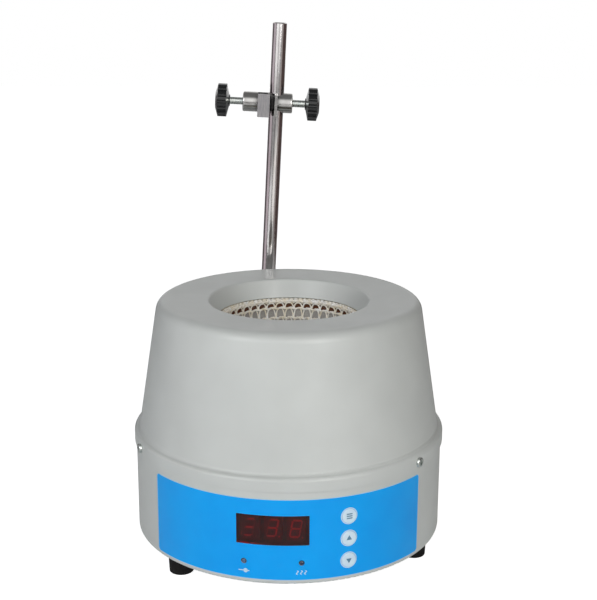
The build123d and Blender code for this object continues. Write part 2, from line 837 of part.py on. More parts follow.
with BuildPart() as insulation:
    with BuildSketch(Plane.XZ):
        wool_radius = bowl_radius - bowl_wall - wool_play
        wool_floor = bowl_inside + wool_play
        with Locations((wool_radius / 2, (wool_floor + basket_rim) / 2)):
            Rectangle(wool_radius, basket_rim - wool_floor)
        fillet(vertices().sort_by(Axis.Y)[:2].sort_by(Axis.X)[-1], bowl_corner)
        with Locations((0, basket_rim)):
            Circle(basket_outside + wool_play, mode=Mode.SUBTRACT)
    revolve(axis=Axis.Z)
    with BuildSketch(Plane.XY.offset(wool_floor)):
        with Locations(*post_points):
            Circle(bowl_screw_room)
    extrude(amount=bowl_screw_rise, mode=Mode.SUBTRACT)
    with BuildSketch(Plane.XY.offset(wool_floor)):
        Circle(probe_radius + wool_play)
        with Locations(*bush_points):
            Circle(bush_radius + wool_play)
    extrude(amount=basket_rim - wool_floor, mode=Mode.SUBTRACT)
insulation.part.label = "insulation"
export_step(insulation.part, "parts/insulation.step")

# =====================================================================================
# Temperature probe under the basket and ceramic bushes for the heater's leads.
# =====================================================================================
basket_bottom = basket_rim - basket_outside
with BuildPart() as temperature_probe:
    with BuildSketch(Plane.XY.offset(bowl_floor - probe_tail)):
        Circle(probe_radius)
    extrude(amount=basket_bottom - bowl_floor + probe_tail)
    with BuildSketch(Plane.XY.offset(bowl_floor - probe_nut_height)):
        RegularPolygon(probe_nut_across / 2, 6, major_radius=False)
    extrude(amount=probe_nut_height)
temperature_probe.part.label = "temperature_probe"
export_step(temperature_probe.part, "parts/temperature_probe.step")

bush_top = bowl_floor + 14.0
with BuildPart() as ceramic_bushes:
    with BuildSketch(Plane.XY.offset(shield_height)):
        with Locations(*bush_points):
            Circle(bush_radius)
            Circle(bush_bore, mode=Mode.SUBTRACT)
    extrude(amount=bush_top - shield_height)
ceramic_bushes.part.label = "ceramic_bushes"
export_step(ceramic_bushes.part, "parts/ceramic_bushes.step")

# =====================================================================================
# Power board on pillars: transformer, triac on a finned heat sink, terminal block.
# =====================================================================================
pillar_spacing = (power_board_length - 2 * pillar_inset, power_board_width - 2 * pillar_inset)
board_top = power_board_height + board_thickness
with BuildPart() as board_pillars:
    with BuildSketch(Plane.XY.offset(pan_wall)):
        with Locations((0, power_board_y)):
            with GridLocations(*pillar_spacing, 2, 2):
                Circle(pillar_radius)
    extrude(amount=power_board_height - pan_wall)
    with BuildSketch(Plane.XY.offset(power_board_height)):
        with Locations((0, power_board_y)):
            with GridLocations(*pillar_spacing, 2, 2):
                Circle(m3_radius)
    extrude(amount=board_thickness)
board_pillars.part.label = "board_pillars"
export_step(board_pillars.part, "parts/board_pillars.step")

with BuildPart() as pillar_caps:
    with BuildSketch(Plane.XY.offset(board_top)):
        with Locations((0, power_board_y)):
            with GridLocations(*pillar_spacing, 2, 2):
                Circle(2.8)
    extrude(amount=2.0)
pillar_caps.part.label = "pillar_caps"
export_step(pillar_caps.part, "parts/pillar_caps.step")

with BuildPart() as power_board:
    with BuildSketch(Plane.XY.offset(power_board_height)):
        with Locations((0, power_board_y)):
            RectangleRounded(power_board_length, power_board_width, 2.0)
            with GridLocations(*pillar_spacing, 2, 2):
                Circle(m3_radius + thread_play, mode=Mode.SUBTRACT)
    extrude(amount=board_thickness)
power_board.part.label = "power_board"
export_step(power_board.part, "parts/power_board.step")

length, width, rise = transformer_size
with BuildPart() as mains_transformer:
    with BuildSketch(Plane.XY.offset(board_top)):
        with Locations(transformer_place):
            Rectangle(length, width * 0.45)
    extrude(amount=rise)
    with BuildSketch(Plane.XY.offset(board_top + 3.0)):
        with Locations(transformer_place):
            RectangleRounded(length - 10.0, width, 3.0)
    extrude(amount=rise - 6.0)
    fillet(mains_transformer.edges().filter_by(Axis.Z), 1.0)
mains_transformer.part.label = "mains_transformer"
export_step(mains_transformer.part, "parts/mains_transformer.step")

length, width, rise = heat_sink_size
fin_pitch = width / fin_count
with BuildPart() as heat_sink:
    with BuildSketch(Plane.XY.offset(board_top)):
        with Locations(heat_sink_place):
            Rectangle(length, width)
        with Locations((heat_sink_place[0] + 3.0, heat_sink_place[1])):
            with GridLocations(0, fin_pitch, 1, fin_count - 1):
                Rectangle(length, fin_gap, mode=Mode.SUBTRACT)
    extrude(amount=rise)
heat_sink.part.label = "heat_sink"
export_step(heat_sink.part, "parts/heat_sink.step")

thickness, width, rise = triac_size
triac_x = heat_sink_place[0] - heat_sink_size[0] / 2 - thickness / 2
with BuildPart() as triac:
    with BuildSketch(Plane.XY.offset(board_top + 4.0)):
        with Locations((triac_x, heat_sink_place[1])):
            Rectangle(thickness, width)
    extrude(amount=rise - 6.5)
    with BuildSketch(Plane.XY.offset(board_top + 4.0)):
        with Locations((triac_x + thickness / 2 - 0.65, heat_sink_place[1])):
            Rectangle(1.3, width)
    extrude(amount=rise)
    with BuildSketch(Plane.XY.offset(board_top)):
        with Locations((triac_x, heat_sink_place[1])):
            with GridLocations(0, 2.54, 1, 3):
                Rectangle(0.5, 1.0)
    extrude(amount=4.0)
triac.part.label = "triac"
export_step(triac.part, "parts/triac.step")

length, width, rise = terminal_size
terminal_pitch = length / terminal_ways
with BuildPart() as terminal_block:
    with BuildSketch(Plane.XY.offset(board_top)):
        with Locations(terminal_place):
            Rectangle(length, width)
    extrude(amount=rise)
    chamfer(terminal_block.edges().filter_by(Axis.X).group_by(Axis.Z)[-1], 1.5)
    with BuildSketch(Plane.XY.offset(board_top + rise)):
        with Locations(terminal_place):
            with GridLocations(terminal_pitch, 0, terminal_ways, 1):
                Circle(1.7)
    extrude(amount=-3.0, mode=Mode.SUBTRACT)
    with BuildSketch(Plane.XZ.offset(-terminal_place[1] + width / 2)):
        with Locations((terminal_place[0], board_top + 4.0)):
            with GridLocations(terminal_pitch, 0, terminal_ways, 1):
                Rectangle(3.4, 3.4)
    extrude(amount=-5.0, mode=Mode.SUBTRACT)
terminal_block.part.label = "terminal_block"
export_step(terminal_block.part, "parts/terminal_block.step")

# =====================================================================================
# Rear connections on the flat: mains inlet, power switch and fuse.
# =====================================================================================
rear_face = radial_plane(flat_azimuth, flat_distance, 0)


def rear_plane(across, height, proud=0.0):
    """Plane on the rear flat, centred on one of its fittings."""
    origin = rear_face.origin + rear_face.x_dir * across + Vector(0, 0, height)
    return Plane(origin + rear_face.z_dir * proud, rear_face.x_dir, rear_face.z_dir)


inlet_plane = rear_plane(0, inlet_height)
inlet_front = rear_plane(0, inlet_height, inlet_flange_thickness)
with BuildPart() as mains_inlet:
    with BuildSketch(inlet_plane):
        Rectangle(*inlet_flange)
        fillet(vertices(), 4.0)
        with GridLocations(inlet_screw_spacing, 0, 2, 1):
            Circle(m3_radius + thread_play, mode=Mode.SUBTRACT)
    extrude(amount=inlet_flange_thickness)
    with BuildSketch(inlet_plane):
        RectangleRounded(inlet_body[0] - 0.4, inlet_body[1] - 0.4, 1.5)
    extrude(amount=-inlet_body_depth)
    with BuildSketch(inlet_front):
        Rectangle(*inlet_well)
        chamfer(vertices().group_by(Axis.Z)[-1], 4.0)
    extrude(amount=-inlet_well_depth, mode=Mode.SUBTRACT)
    with BuildSketch(rear_plane(0, inlet_height, inlet_flange_thickness - inlet_well_depth)):
        with Locations((-7.0, -1.5), (7.0, -1.5), (0, 2.5)):
            Rectangle(inlet_blade[1], inlet_blade[0])
    extrude(amount=inlet_well_depth - 4.0)
mains_inlet.part.label = "mains_inlet"
export_step(mains_inlet.part, "parts/mains_inlet.step")

with BuildPart() as inlet_screws:
    with BuildSketch(rear_plane(0, inlet_height, inlet_flange_thickness)):
        with GridLocations(inlet_screw_spacing, 0, 2, 1):
            Circle(m3_radius)
    extrude(amount=-10.0)
    with BuildSketch(rear_plane(0, inlet_height, inlet_flange_thickness)):
        with GridLocations(inlet_screw_spacing, 0, 2, 1):
            Circle(2.8)
            Rectangle(3.0, 0.7, mode=Mode.SUBTRACT)
            Rectangle(0.7, 3.0, mode=Mode.SUBTRACT)
    extrude(amount=1.0)
    with BuildSketch(rear_plane(0, inlet_height, inlet_flange_thickness)):
        with GridLocations(inlet_screw_spacing, 0, 2, 1):
            Circle(2.8)
    extrude(amount=0.6)
inlet_screws.part.label = "inlet_screws"
export_step(inlet_screws.part, "parts/inlet_screws.step")

with BuildPart() as inlet_nuts:
    with BuildSketch(rear_plane(0, inlet_height, -pan_wall)):
        with GridLocations(inlet_screw_spacing, 0, 2, 1):
            RegularPolygon(3.1, 6)
            Circle(m3_radius, mode=Mode.SUBTRACT)
    extrude(amount=-2.4)
inlet_nuts.part.label = "inlet_nuts"
export_step(inlet_nuts.part, "parts/inlet_nuts.step")

rocker_opening = (rocker_size[0] + 2 * rocker_play, rocker_size[1] + 2 * rocker_play)
with BuildPart() as switch_frame:
    with BuildSketch(rear_plane(switch_offset, switch_centre)):
        RectangleRounded(*switch_bezel, 1.5)
    extrude(amount=switch_bezel_thickness)
    with BuildSketch(rear_plane(switch_offset, switch_centre)):
        Rectangle(switch_body[0] - 0.4, switch_body[1] - 0.4)
    extrude(amount=-switch_body_depth)
    with BuildSketch(rear_plane(switch_offset, switch_centre, switch_bezel_thickness)):
        Rectangle(*rocker_opening)
    extrude(amount=-10.0, mode=Mode.SUBTRACT)
switch_frame.part.label = "switch_frame"
export_step(switch_frame.part, "parts/switch_frame.step")

# rocker: its sides are arcs about its pin, and its two faces meet in a shallow valley
rocker_pivot = rear_plane(switch_offset, switch_centre, -2.0)
rocker_section = Plane(
    rocker_pivot.origin - Vector(0, 0, rocker_size[1] / 2), rocker_pivot.x_dir, Vector(0, 0, 1)
).rotated((0, 0, -rocker_tilt))
with BuildPart() as switch_rocker:
    with BuildSketch(rocker_section):
        Circle(rocker_size[0] / 2)
        with BuildLine():
            Polyline(
                (-rocker_size[0], 3.6),
                (rocker_size[0], 3.6),
                (rocker_size[0], -rocker_valley - rocker_slope * rocker_size[0]),
                (0, -rocker_valley),
                (-rocker_size[0], -rocker_valley - rocker_slope * rocker_size[0]),
                close=True,
            )
        make_face(mode=Mode.INTERSECT)
    extrude(amount=rocker_size[1])
switch_rocker.part.label = "switch_rocker"
export_step(switch_rocker.part, "parts/switch_rocker.step")

with BuildPart() as fuse_holder:
    with BuildSketch(rear_plane(fuse_offset, fuse_centre)):
        Circle(fuse_flange_radius)
    extrude(amount=fuse_flange_thickness)
    with BuildSketch(rear_plane(fuse_offset, fuse_centre)):
        Circle(fuse_radius - 0.1)
    extrude(amount=-fuse_depth)
    with BuildSketch(rear_plane(fuse_offset, fuse_centre, fuse_flange_thickness)):
        Circle(fuse_cap_radius - 1.0)
    extrude(amount=-fuse_depth + 4.0, mode=Mode.SUBTRACT)
fuse_holder.part.label = "fuse_holder"
export_step(fuse_holder.part, "parts/fuse_holder.step")

with BuildPart() as fuse_cap:
    with BuildSketch(rear_plane(fuse_offset, fuse_centre, fuse_flange_thickness + 0.1)):
        Circle(fuse_cap_radius)
    extrude(amount=fuse_cap_height - fuse_flange_thickness)
    with BuildSketch(rear_plane(fuse_offset, fuse_centre, fuse_cap_height + 0.1)):
        Rectangle(2 * fuse_cap_radius + 2, 1.4)
    extrude(amount=-1.5, mode=Mode.SUBTRACT)
    with BuildSketch(rear_plane(fuse_offset, fuse_centre, fuse_flange_thickness + 0.1)):
        Circle(fuse_cap_radius - 1.1)
    extrude(amount=-fuse_depth + 8.0)
fuse_cap.part.label = "fuse_cap"
export_step(fuse_cap.part, "parts/fuse_cap.step")

# =====================================================================================
# Stand rod in its holder: a bored block on the pan's rear wall, with a locking screw.
# =====================================================================================
rod_up = Vector(sin(rod_tilt), 0, cos(rod_tilt))
rod_across = Vector(cos(rod_tilt), 0, -sin(rod_tilt))


def rod_plane(height):
    """Plane square to the rod, at a height measured along it from its foot."""
    return Plane(Vector(*rod_foot) + rod_up * height, rod_across, rod_up)


with BuildPart() as support_rod:
    with BuildSketch(rod_plane(0)):
        Circle(rod_radius)
    extrude(amount=rod_length)
    chamfer(support_rod.edges().filter_by(GeomType.CIRCLE), rod_chamfer)
support_rod.part.label = "support_rod"
export_step(support_rod.part, "parts/support_rod.step")

with BuildPart() as rod_holder:
    with BuildSketch(Plane.XY.offset(holder_bottom)):
        with Locations((holder_x, (holder_back + pan_radius / 2) / 2)):
            Rectangle(holder_width, holder_back - pan_radius / 2)
        fillet(vertices().group_by(Axis.Y)[-1], holder_round)
        Circle(pan_radius, mode=Mode.SUBTRACT)
    extrude(amount=holder_top - holder_bottom)
    chamfer(rod_holder.faces().sort_by(Axis.Z)[-1].edges(), 0.8)
    with BuildSketch(rod_plane(0)):
        Circle(rod_radius + rod_play)
    extrude(amount=holder_top, mode=Mode.SUBTRACT)
    holder_screw_plane = back_plane(holder_x, 0, holder_middle)
    holder_screw_tip = pan_radius + holder_screw_entry - 3.0
    with BuildSketch(holder_screw_plane):
        with GridLocations(holder_screw_spacing, 0, 2, 1):
            Circle(m4_radius)
    extrude(amount=holder_screw_tip, mode=Mode.SUBTRACT)
    lock_x = rod_foot[0] + (lock_screw_height - rod_foot[2]) * tan(rod_tilt)
    lock_plane = back_plane(lock_x, holder_back, lock_screw_height)
    with BuildSketch(lock_plane):
        Circle(lock_screw_radius)
    extrude(amount=rod_foot[1] - holder_back, mode=Mode.SUBTRACT)
rod_holder.part.label = "rod_holder"
export_step(rod_holder.part, "parts/rod_holder.step")

with BuildPart() as holder_screws:
    with BuildSketch(holder_screw_plane):
        with GridLocations(holder_screw_spacing, 0, 2, 1):
            Circle(m4_radius)
    extrude(amount=holder_screw_tip)
    with BuildSketch(holder_screw_plane):
        with GridLocations(holder_screw_spacing, 0, 2, 1):
            Circle(3.6)
    screw_head_back = chord_distance(pan_inside, abs(holder_x) + holder_screw_spacing / 2 + 3.6)
    extrude(amount=screw_head_back)
    with BuildSketch(holder_screw_plane):
        Rectangle(2 * pan_radius, 2 * pan_radius)
    extrude(amount=screw_head_back - 2.6, mode=Mode.SUBTRACT)
holder_screws.part.label = "holder_screws"
export_step(holder_screws.part, "parts/holder_screws.step")

with BuildPart() as rod_lock_screw:
    with BuildSketch(lock_plane):
        RegularPolygon(lock_head_across / 2, 6, major_radius=False)
    extrude(amount=lock_head_height)
    chamfer(rod_lock_screw.faces().sort_by(Axis.Y)[-1].edges(), 0.6)
    with BuildSketch(lock_plane):
        Circle(lock_screw_radius)
    extrude(amount=rod_foot[1] + rod_radius + screw_gap - holder_back)
rod_lock_screw.part.label = "rod_lock_screw"
export_step(rod_lock_screw.part, "parts/rod_lock_screw.step")

# =====================================================================================
# Clamp: a turned bar bored for the rod, with a fixed jaw, a sliding jaw and two screws.
# =====================================================================================
clamp = rod_plane(clamp_height)
bar_plane = Plane(clamp.origin, -clamp.y_dir, clamp.x_dir)      # square to the bar
slot_right = jaw_left + jaw_root_width + jaw_opening + slot_end_play
fixed_jaw_left = jaw_left + jaw_width + jaw_opening


def clamp_box(x_range, y_range, z_range):
    """A block in the clamp's frame."""
    with BuildPart() as block:
        with BuildSketch(Plane(clamp.origin + clamp.z_dir * z_range[0], clamp.x_dir, clamp.z_dir)):
            with Locations(((x_range[0] + x_range[1]) / 2, (y_range[0] + y_range[1]) / 2)):
                Rectangle(x_range[1] - x_range[0], y_range[1] - y_range[0])
        extrude(amount=z_range[1] - z_range[0])
    return block.part


def clamp_round(x_from, x_to, radius):
    """A round length on the bar's axis."""
    with BuildPart() as length_of_bar:
        with BuildSketch(bar_plane.offset(x_from)):
            Circle(radius)
        extrude(amount=x_to - x_from)
    return length_of_bar.part


bar_rise = (-2 * bar_radius, 2 * bar_radius)
screw_hole_radius = clamp_screw_radius + clamp_screw_play
with BuildPart() as clamp_body:
    add(clamp_round(bar_left, bar_right, bar_radius))
    fillet(clamp_body.edges().filter_by(GeomType.CIRCLE), bar_round)
    add(clamp_box((fixed_jaw_left, fixed_jaw_left + fixed_jaw_width), (jaw_front, 0), (jaw_low, jaw_high)))
    add(clamp_box((jaw_left, slot_right), (jaw_front, slot_back), bar_rise), mode=Mode.SUBTRACT)
    add(clamp_box((slot_right, fixed_jaw_left), (jaw_front, jaw_back), bar_rise), mode=Mode.SUBTRACT)
    with BuildSketch(rod_plane(clamp_height - 2 * bar_radius)):
        Circle(rod_radius + rod_play)
    extrude(amount=4 * bar_radius, mode=Mode.SUBTRACT)
    add(clamp_round(bar_left - 1, jaw_left + 1, screw_hole_radius), mode=Mode.SUBTRACT)
    add(clamp_round(0, bar_right + 1, screw_hole_radius), mode=Mode.SUBTRACT)
clamp_body.part.label = "clamp_body"
export_step(clamp_body.part, "parts/clamp_body.step")

with BuildPart() as jaw_block:
    add(clamp_box((jaw_left + jaw_play, jaw_left + jaw_width), (jaw_front, jaw_back - jaw_play), (jaw_low, jaw_high)))
    add(
        clamp_box(
            (jaw_left + jaw_play, jaw_left + jaw_root_width),
            (jaw_back - 1, slot_back - jaw_play),
            (-clamp_screw_radius - 1, clamp_screw_radius + 1),
        )
    )
jaw_block.part.label = "jaw_block"
export_step(jaw_block.part, "parts/jaw_block.step")


def clamp_screw(x_from, x_to):
    """A screw's stem on the bar's axis, with chamfered ends."""
    with BuildPart() as stem:
        add(clamp_round(x_from, x_to, clamp_screw_radius))
        chamfer(stem.edges().filter_by(GeomType.CIRCLE), 0.5)
    return stem.part


def fluted_knob(face, side):
    """A moulded knob whose inner face is at face, growing away from the bar towards side."""
    bar_section = Plane(clamp.origin, clamp.x_dir, -clamp.y_dir)
    with BuildPart() as knob:
        with BuildSketch(bar_section):
            with BuildLine():
                Polyline(
                    (face - side * knob_hub_width, 0),
                    (face - side * knob_hub_width, knob_hub_radius),
                    (face, knob_hub_radius + knob_hub_width / 2),
                    (face + side * knob_slope, knob_radius),
                    (face + side * (knob_width - knob_slope), knob_radius),
                    (face + side * knob_width, knob_face_radius),
                    (face + side * knob_width, 0),
                    close=True,
                )
            make_face()
        revolve(axis=Axis(clamp.origin, clamp.x_dir))
        with BuildSketch(bar_plane.offset(face)):
            with PolarLocations(knob_radius + 0.45 * flute_radius, flute_count):
                Circle(flute_radius)
        extrude(amount=side * knob_width, mode=Mode.SUBTRACT)
        with BuildSketch(bar_plane.offset(face - side * knob_hub_width)):
            Circle(clamp_screw_radius + knob_play)
        extrude(amount=side * (knob_hub_width + knob_grip + screw_gap), mode=Mode.SUBTRACT)
    return knob.part


jaw_knob_face = -jaw_knob_end + knob_width
rod_knob_face = rod_knob_end - knob_width
jaw_screw = clamp_screw(jaw_knob_face - knob_grip, jaw_left + jaw_play)
jaw_screw.label = "jaw_screw"
export_step(jaw_screw, "parts/jaw_screw.step")
rod_screw = clamp_screw(rod_radius + screw_gap, rod_knob_face + knob_grip)
rod_screw.label = "rod_screw"
export_step(rod_screw, "parts/rod_screw.step")
jaw_knob = fluted_knob(jaw_knob_face, -1)
jaw_knob.label = "jaw_knob"
export_step(jaw_knob, "parts/jaw_knob.step")
rod_knob = fluted_knob(rod_knob_face, 1)
rod_knob.label = "rod_knob"
export_step(rod_knob, "parts/rod_knob.step")
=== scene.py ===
"""Laboratory heating mantle with a stand rod and clamp, dressed over its CAD frame.

Metres, +Z up, the front and its controls towards -Y.  The origin is on the casing's axis in the
plane of the base pan's underside, as in the frame.
"""
import random
from math import cos, degrees, pi, radians, sin, tan

import bmesh
import bpy
from mathutils import Matrix, Vector


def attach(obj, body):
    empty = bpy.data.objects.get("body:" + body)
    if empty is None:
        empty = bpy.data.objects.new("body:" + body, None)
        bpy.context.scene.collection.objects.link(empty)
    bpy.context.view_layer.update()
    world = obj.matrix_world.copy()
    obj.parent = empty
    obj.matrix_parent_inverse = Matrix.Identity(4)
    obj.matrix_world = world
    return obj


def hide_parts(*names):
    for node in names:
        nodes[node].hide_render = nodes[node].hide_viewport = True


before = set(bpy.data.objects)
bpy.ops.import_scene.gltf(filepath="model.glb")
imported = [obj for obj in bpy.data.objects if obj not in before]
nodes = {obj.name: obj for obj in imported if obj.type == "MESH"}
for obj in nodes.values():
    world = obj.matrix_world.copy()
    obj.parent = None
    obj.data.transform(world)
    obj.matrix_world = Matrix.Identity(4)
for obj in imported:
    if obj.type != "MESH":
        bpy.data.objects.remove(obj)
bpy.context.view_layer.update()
scene = bpy.context.scene
MM = 0.001

# =====================================================================================
# Camera: a fairly long lens at the bench's edge, a little above the casing and looking
# down on it.  It hardly leans.
# =====================================================================================
camera_distance = 922.8 * MM      # in front of the casing's axis
camera_height = 421.0 * MM
camera_pitch = 14.76              # degrees downwards
camera_yaw = 0.45
camera_roll = 0.23
camera_lens = 74.8                # on a sensor of 36 mm

camera_data = bpy.data.cameras.new("camera")
camera_data.lens = camera_lens
camera_data.sensor_width = 36.0
camera = bpy.data.objects.new("camera", camera_data)
scene.collection.objects.link(camera)
camera.location = (0.0, -camera_distance, camera_height)
camera.rotation_euler = (
    Matrix.Rotation(-radians(camera_yaw), 3, "Z")
    @ Matrix.Rotation(radians(90.0 - camera_pitch), 3, "X")
    @ Matrix.Rotation(radians(camera_roll), 3, "Z")
).to_euler()
scene.camera = camera

# =====================================================================================
# Studio: a white bench and a white surround, two large soft boxes in front, and glowing grey
# screens that only polished metal sees, which paint its reflections.
# =====================================================================================
bench_height = -15.5 * MM
bench_reach = 4.0


def linear(hex_colour):
    """Linear RGBA of an sRGB hex colour."""
    channels = [int(hex_colour[at : at + 2], 16) / 255 for at in (0, 2, 4)]
    return tuple(
        c / 12.92 if c <= 0.04045 else ((c + 0.055) / 1.055) ** 2.4 for c in channels
    ) + (1.0,)


def add_node(owner, kind, values=None, **settings):
    """Adds a node to a material or world: settings are its own, values fill or link its sockets."""
    tree = owner.node_tree
    made = tree.nodes.new(kind)
    for name, value in settings.items():
        setattr(made, name, value)
    for socket, value in (values or {}).items():
        if isinstance(value, bpy.types.NodeSocket):
            tree.links.new(value, made.inputs[socket])
        else:
            made.inputs[socket].default_value = value
    return made


def new_material(name, colour, roughness, metallic=0.0, **sockets):
    """A material of one shader, with its plain values on the shader's own sockets."""
    material = bpy.data.materials.new(name)
    material.use_nodes = True
    shader = material.node_tree.nodes["Principled BSDF"]
    shader.inputs["Base Color"].default_value = linear(colour)
    shader.inputs["Roughness"].default_value = roughness
    shader.inputs["Metallic"].default_value = metallic
    for socket, value in sockets.items():
        shader.inputs[socket.replace("_", " ")].default_value = value
    return material, shader


def seen_directly(owner):
    """1 for rays from the camera, a mirror or glass, 0 for the light that falls on things."""
    path = add_node(owner, "ShaderNodeLightPath")
    either = add_node(
        owner,
        "ShaderNodeMath",
        {0: path.outputs["Is Camera Ray"], 1: path.outputs["Is Glossy Ray"]},
        operation="MAXIMUM",
    )
    return add_node(
        owner,
        "ShaderNodeMath",
        {0: either.outputs[0], 1: path.outputs["Is Transmission Ray"]},
        operation="MAXIMUM",
    ).outputs[0]


scene.view_settings.view_transform = "Standard"
world = bpy.data.worlds.new("surround")
world.use_nodes = True
scene.world = world
world_tree = world.node_tree
ambient = world_tree.nodes["Background"]
ambient.inputs["Color"].default_value = linear("F0F2F3")
outlook = add_node(
    world, "ShaderNodeSeparateXYZ", {0: add_node(world, "ShaderNodeTexCoord").outputs["Generated"]}
)
room = add_node(
    world,
    "ShaderNodeMapRange",
    {
        "Value": outlook.outputs["Z"],
        "From Min": 0.1,
        "From Max": 0.9,
        "To Min": 0.48,
        "To Max": 0.04,
    },
)
world_tree.links.new(room.outputs[0], ambient.inputs["Strength"])
ceiling = add_node(
    world,
    "ShaderNodeMapRange",
    {
        "Value": outlook.outputs["Z"],
        "From Min": 0.5,
        "From Max": 0.85,
        "To Min": 1.0,
        "To Max": 0.16,
    },
)
white_surround = add_node(
    world, "ShaderNodeBackground", {"Color": (1, 1, 1, 1), "Strength": ceiling.outputs[0]}
)
surround_mix = add_node(
    world,
    "ShaderNodeMixShader",
    {0: seen_directly(world), 1: ambient.outputs[0], 2: white_surround.outputs[0]},
)
world_tree.links.new(surround_mix.outputs[0], world_tree.nodes["World Output"].inputs["Surface"])

bench_paper, bench_shader = new_material("bench_paper", "F4F4F4", 0.9)
bench_glow = add_node(bench_paper, "ShaderNodeEmission", {"Color": (1, 1, 1, 1), "Strength": 0.85})
bench_sum = add_node(
    bench_paper, "ShaderNodeAddShader", {0: bench_shader.outputs[0], 1: bench_glow.outputs[0]}
)
bench_view = add_node(bench_paper, "ShaderNodeLightPath").outputs["Is Camera Ray"]
bench_mix = add_node(
    bench_paper,
    "ShaderNodeMixShader",
    {0: bench_view, 1: bench_shader.outputs[0], 2: bench_sum.outputs[0]},
)
bench_paper.node_tree.links.new(
    bench_mix.outputs[0], bench_paper.node_tree.nodes["Material Output"].inputs["Surface"]
)


def finish_mesh(name, shape, material, smooth=True):
    """Makes an object of a bmesh, at the origin, with one material."""
    mesh = bpy.data.meshes.new(name)
    shape.to_mesh(mesh)
    shape.free()
    mesh.materials.append(material)
    if smooth:
        mesh.shade_smooth()
    made = bpy.data.objects.new(name, mesh)
    scene.collection.objects.link(made)
    return made


bench = bmesh.new()
bmesh.ops.create_grid(
    bench,
    x_segments=1,
    y_segments=1,
    size=bench_reach,
    matrix=Matrix.Translation((0, 0, bench_height)),
)
bench_top = finish_mesh("bench", bench, bench_paper)


def soft_box(name, azimuth, distance, height, width, rise, power, tint):
    """A large area lamp at an azimuth from the front, turned towards the casing."""
    data = bpy.data.lights.new(name, "AREA")
    data.shape = "RECTANGLE"
    data.size, data.size_y = width, rise
    data.energy = power
    data.color = linear(tint)[:3]
    lamp = bpy.data.objects.new(name, data)
    lamp.location = (distance * sin(radians(azimuth)), -distance * cos(radians(azimuth)), height)
    lamp.rotation_euler = (Vector((0, 0, 0.12)) - lamp.location).to_track_quat("-Z", "Y").to_euler()
    scene.collection.objects.link(lamp)


soft_box("left_box", -37.0, 1.7, 0.92, 0.95, 0.9, 12.0, "FBFDFF")
soft_box("right_box", 25.0, 1.7, 0.85, 0.26, 1.1, 11.5, "FFFDF8")


def grey_screen(name, colour, first, last, high):
    """An upright glowing screen round the bench, between two azimuths, that only mirrors see: a painted
    reflection.
    """
    reflection_glow_sheet = new_material(name + "_reflection_glow", colour, 0.9)[0]
    screen_glow = add_node(
        reflection_glow_sheet, "ShaderNodeEmission", {"Color": linear(colour), "Strength": 1.0}
    )
    reflection_glow_sheet.node_tree.links.new(
        screen_glow.outputs[0], reflection_glow_sheet.node_tree.nodes["Material Output"].inputs["Surface"]
    )
    sheet = bmesh.new()
    foot = sheet.verts.new((0, -screen_distance, bench_height + 0.5 * MM))
    top = sheet.verts.new((0, -screen_distance, high))
    edge = sheet.edges.new((foot, top))
    bmesh.ops.rotate(
        sheet, cent=(0, 0, 0), matrix=Matrix.Rotation(radians(first), 3, "Z"), verts=sheet.verts
    )
    bmesh.ops.spin(
        sheet,
        geom=[foot, top, edge],
        cent=(0, 0, 0),
        axis=(0, 0, 1),
        angle=radians(last - first),
        steps=8,
    )
    made = finish_mesh(name, sheet, reflection_glow_sheet)
    made.visible_camera = False
    made.visible_diffuse = False
    made.visible_shadow = False
    made.visible_transmission = False


# Glowing screens, light and dark, seen only in reflections: painted reflections on the metal, film and window.
screen_distance = 750 * MM
grey_screen("screen_far_left", "5A5256", -150.0, -108.0, 0.7)
grey_screen("screen_left", "BDB4BA", -108.0, -64.0, 0.7)
grey_screen("screen_left_edge", "2A2428", -64.0, -56.0, 0.7)
grey_screen("screen_middle", "2A1E24", -11.0, -4.0, 0.36)
grey_screen("screen_right", "A09896", 48.0, 72.0, 0.7)
grey_screen("screen_far_right", "4E4240", 72.0, 150.0, 0.7)

# =====================================================================================
# Casing: base pan and upper shell, spun from steel sheet and finished in baked light
# grey enamel, which is smooth with a faint orange peel and a soft shine.
# =====================================================================================
enamel_peel = 1.6 * MM          # spacing of the orange peel
enamel_cloud = 45.0 * MM        # slow drift of the shade

casing_enamel, casing_shader = new_material(
    "baked_enamel", "CBCECC", 0.42, Coat_Weight=0.12, Coat_Roughness=0.25
)


def object_place(material):
    """Object coordinates, in metres."""
    return add_node(material, "ShaderNodeTexCoord").outputs["Object"]


def mottle(material, place, size, low, high, detail=2.0):
    """A noise pattern of a real size, as a number from low to high."""
    noise = add_node(
        material,
        "ShaderNodeTexNoise",
        {"Vector": place, "Scale": 1.0 / size, "Detail": detail, "Roughness": 0.55},
    )
    ramp = add_node(
        material,
        "ShaderNodeMapRange",
        {
            "Value": noise.outputs["Fac"],
            "From Min": 0.3,
            "From Max": 0.7,
            "To Min": low,
            "To Max": high,
        },
    )
    return ramp.outputs[0]


def two_tone(material, shader, amount, first, second):
    """Base colour between two colours by a number."""
    mix = add_node(material, "ShaderNodeMix", data_type="RGBA")
    material.node_tree.links.new(amount, mix.inputs[0])
    mix.inputs[6].default_value = linear(first)
    mix.inputs[7].default_value = linear(second)
    material.node_tree.links.new(mix.outputs[2], shader.inputs["Base Color"])
    return mix.outputs[2]


def rise_and_fall(material, shader, height, depth, strength=1.0):
    """Bump from a height pattern of a real depth in metres."""
    bump = add_node(
        material, "ShaderNodeBump", {"Height": height, "Distance": depth, "Strength": strength}
    )
    material.node_tree.links.new(bump.outputs[0], shader.inputs["Normal"])


def dress(material, *names):
    """Gives CAD nodes their finish."""
    for name in names:
        piece = nodes[name]
        if not piece.material_slots:
            piece.data.materials.append(material)
        for slot in piece.material_slots:
            slot.material = material


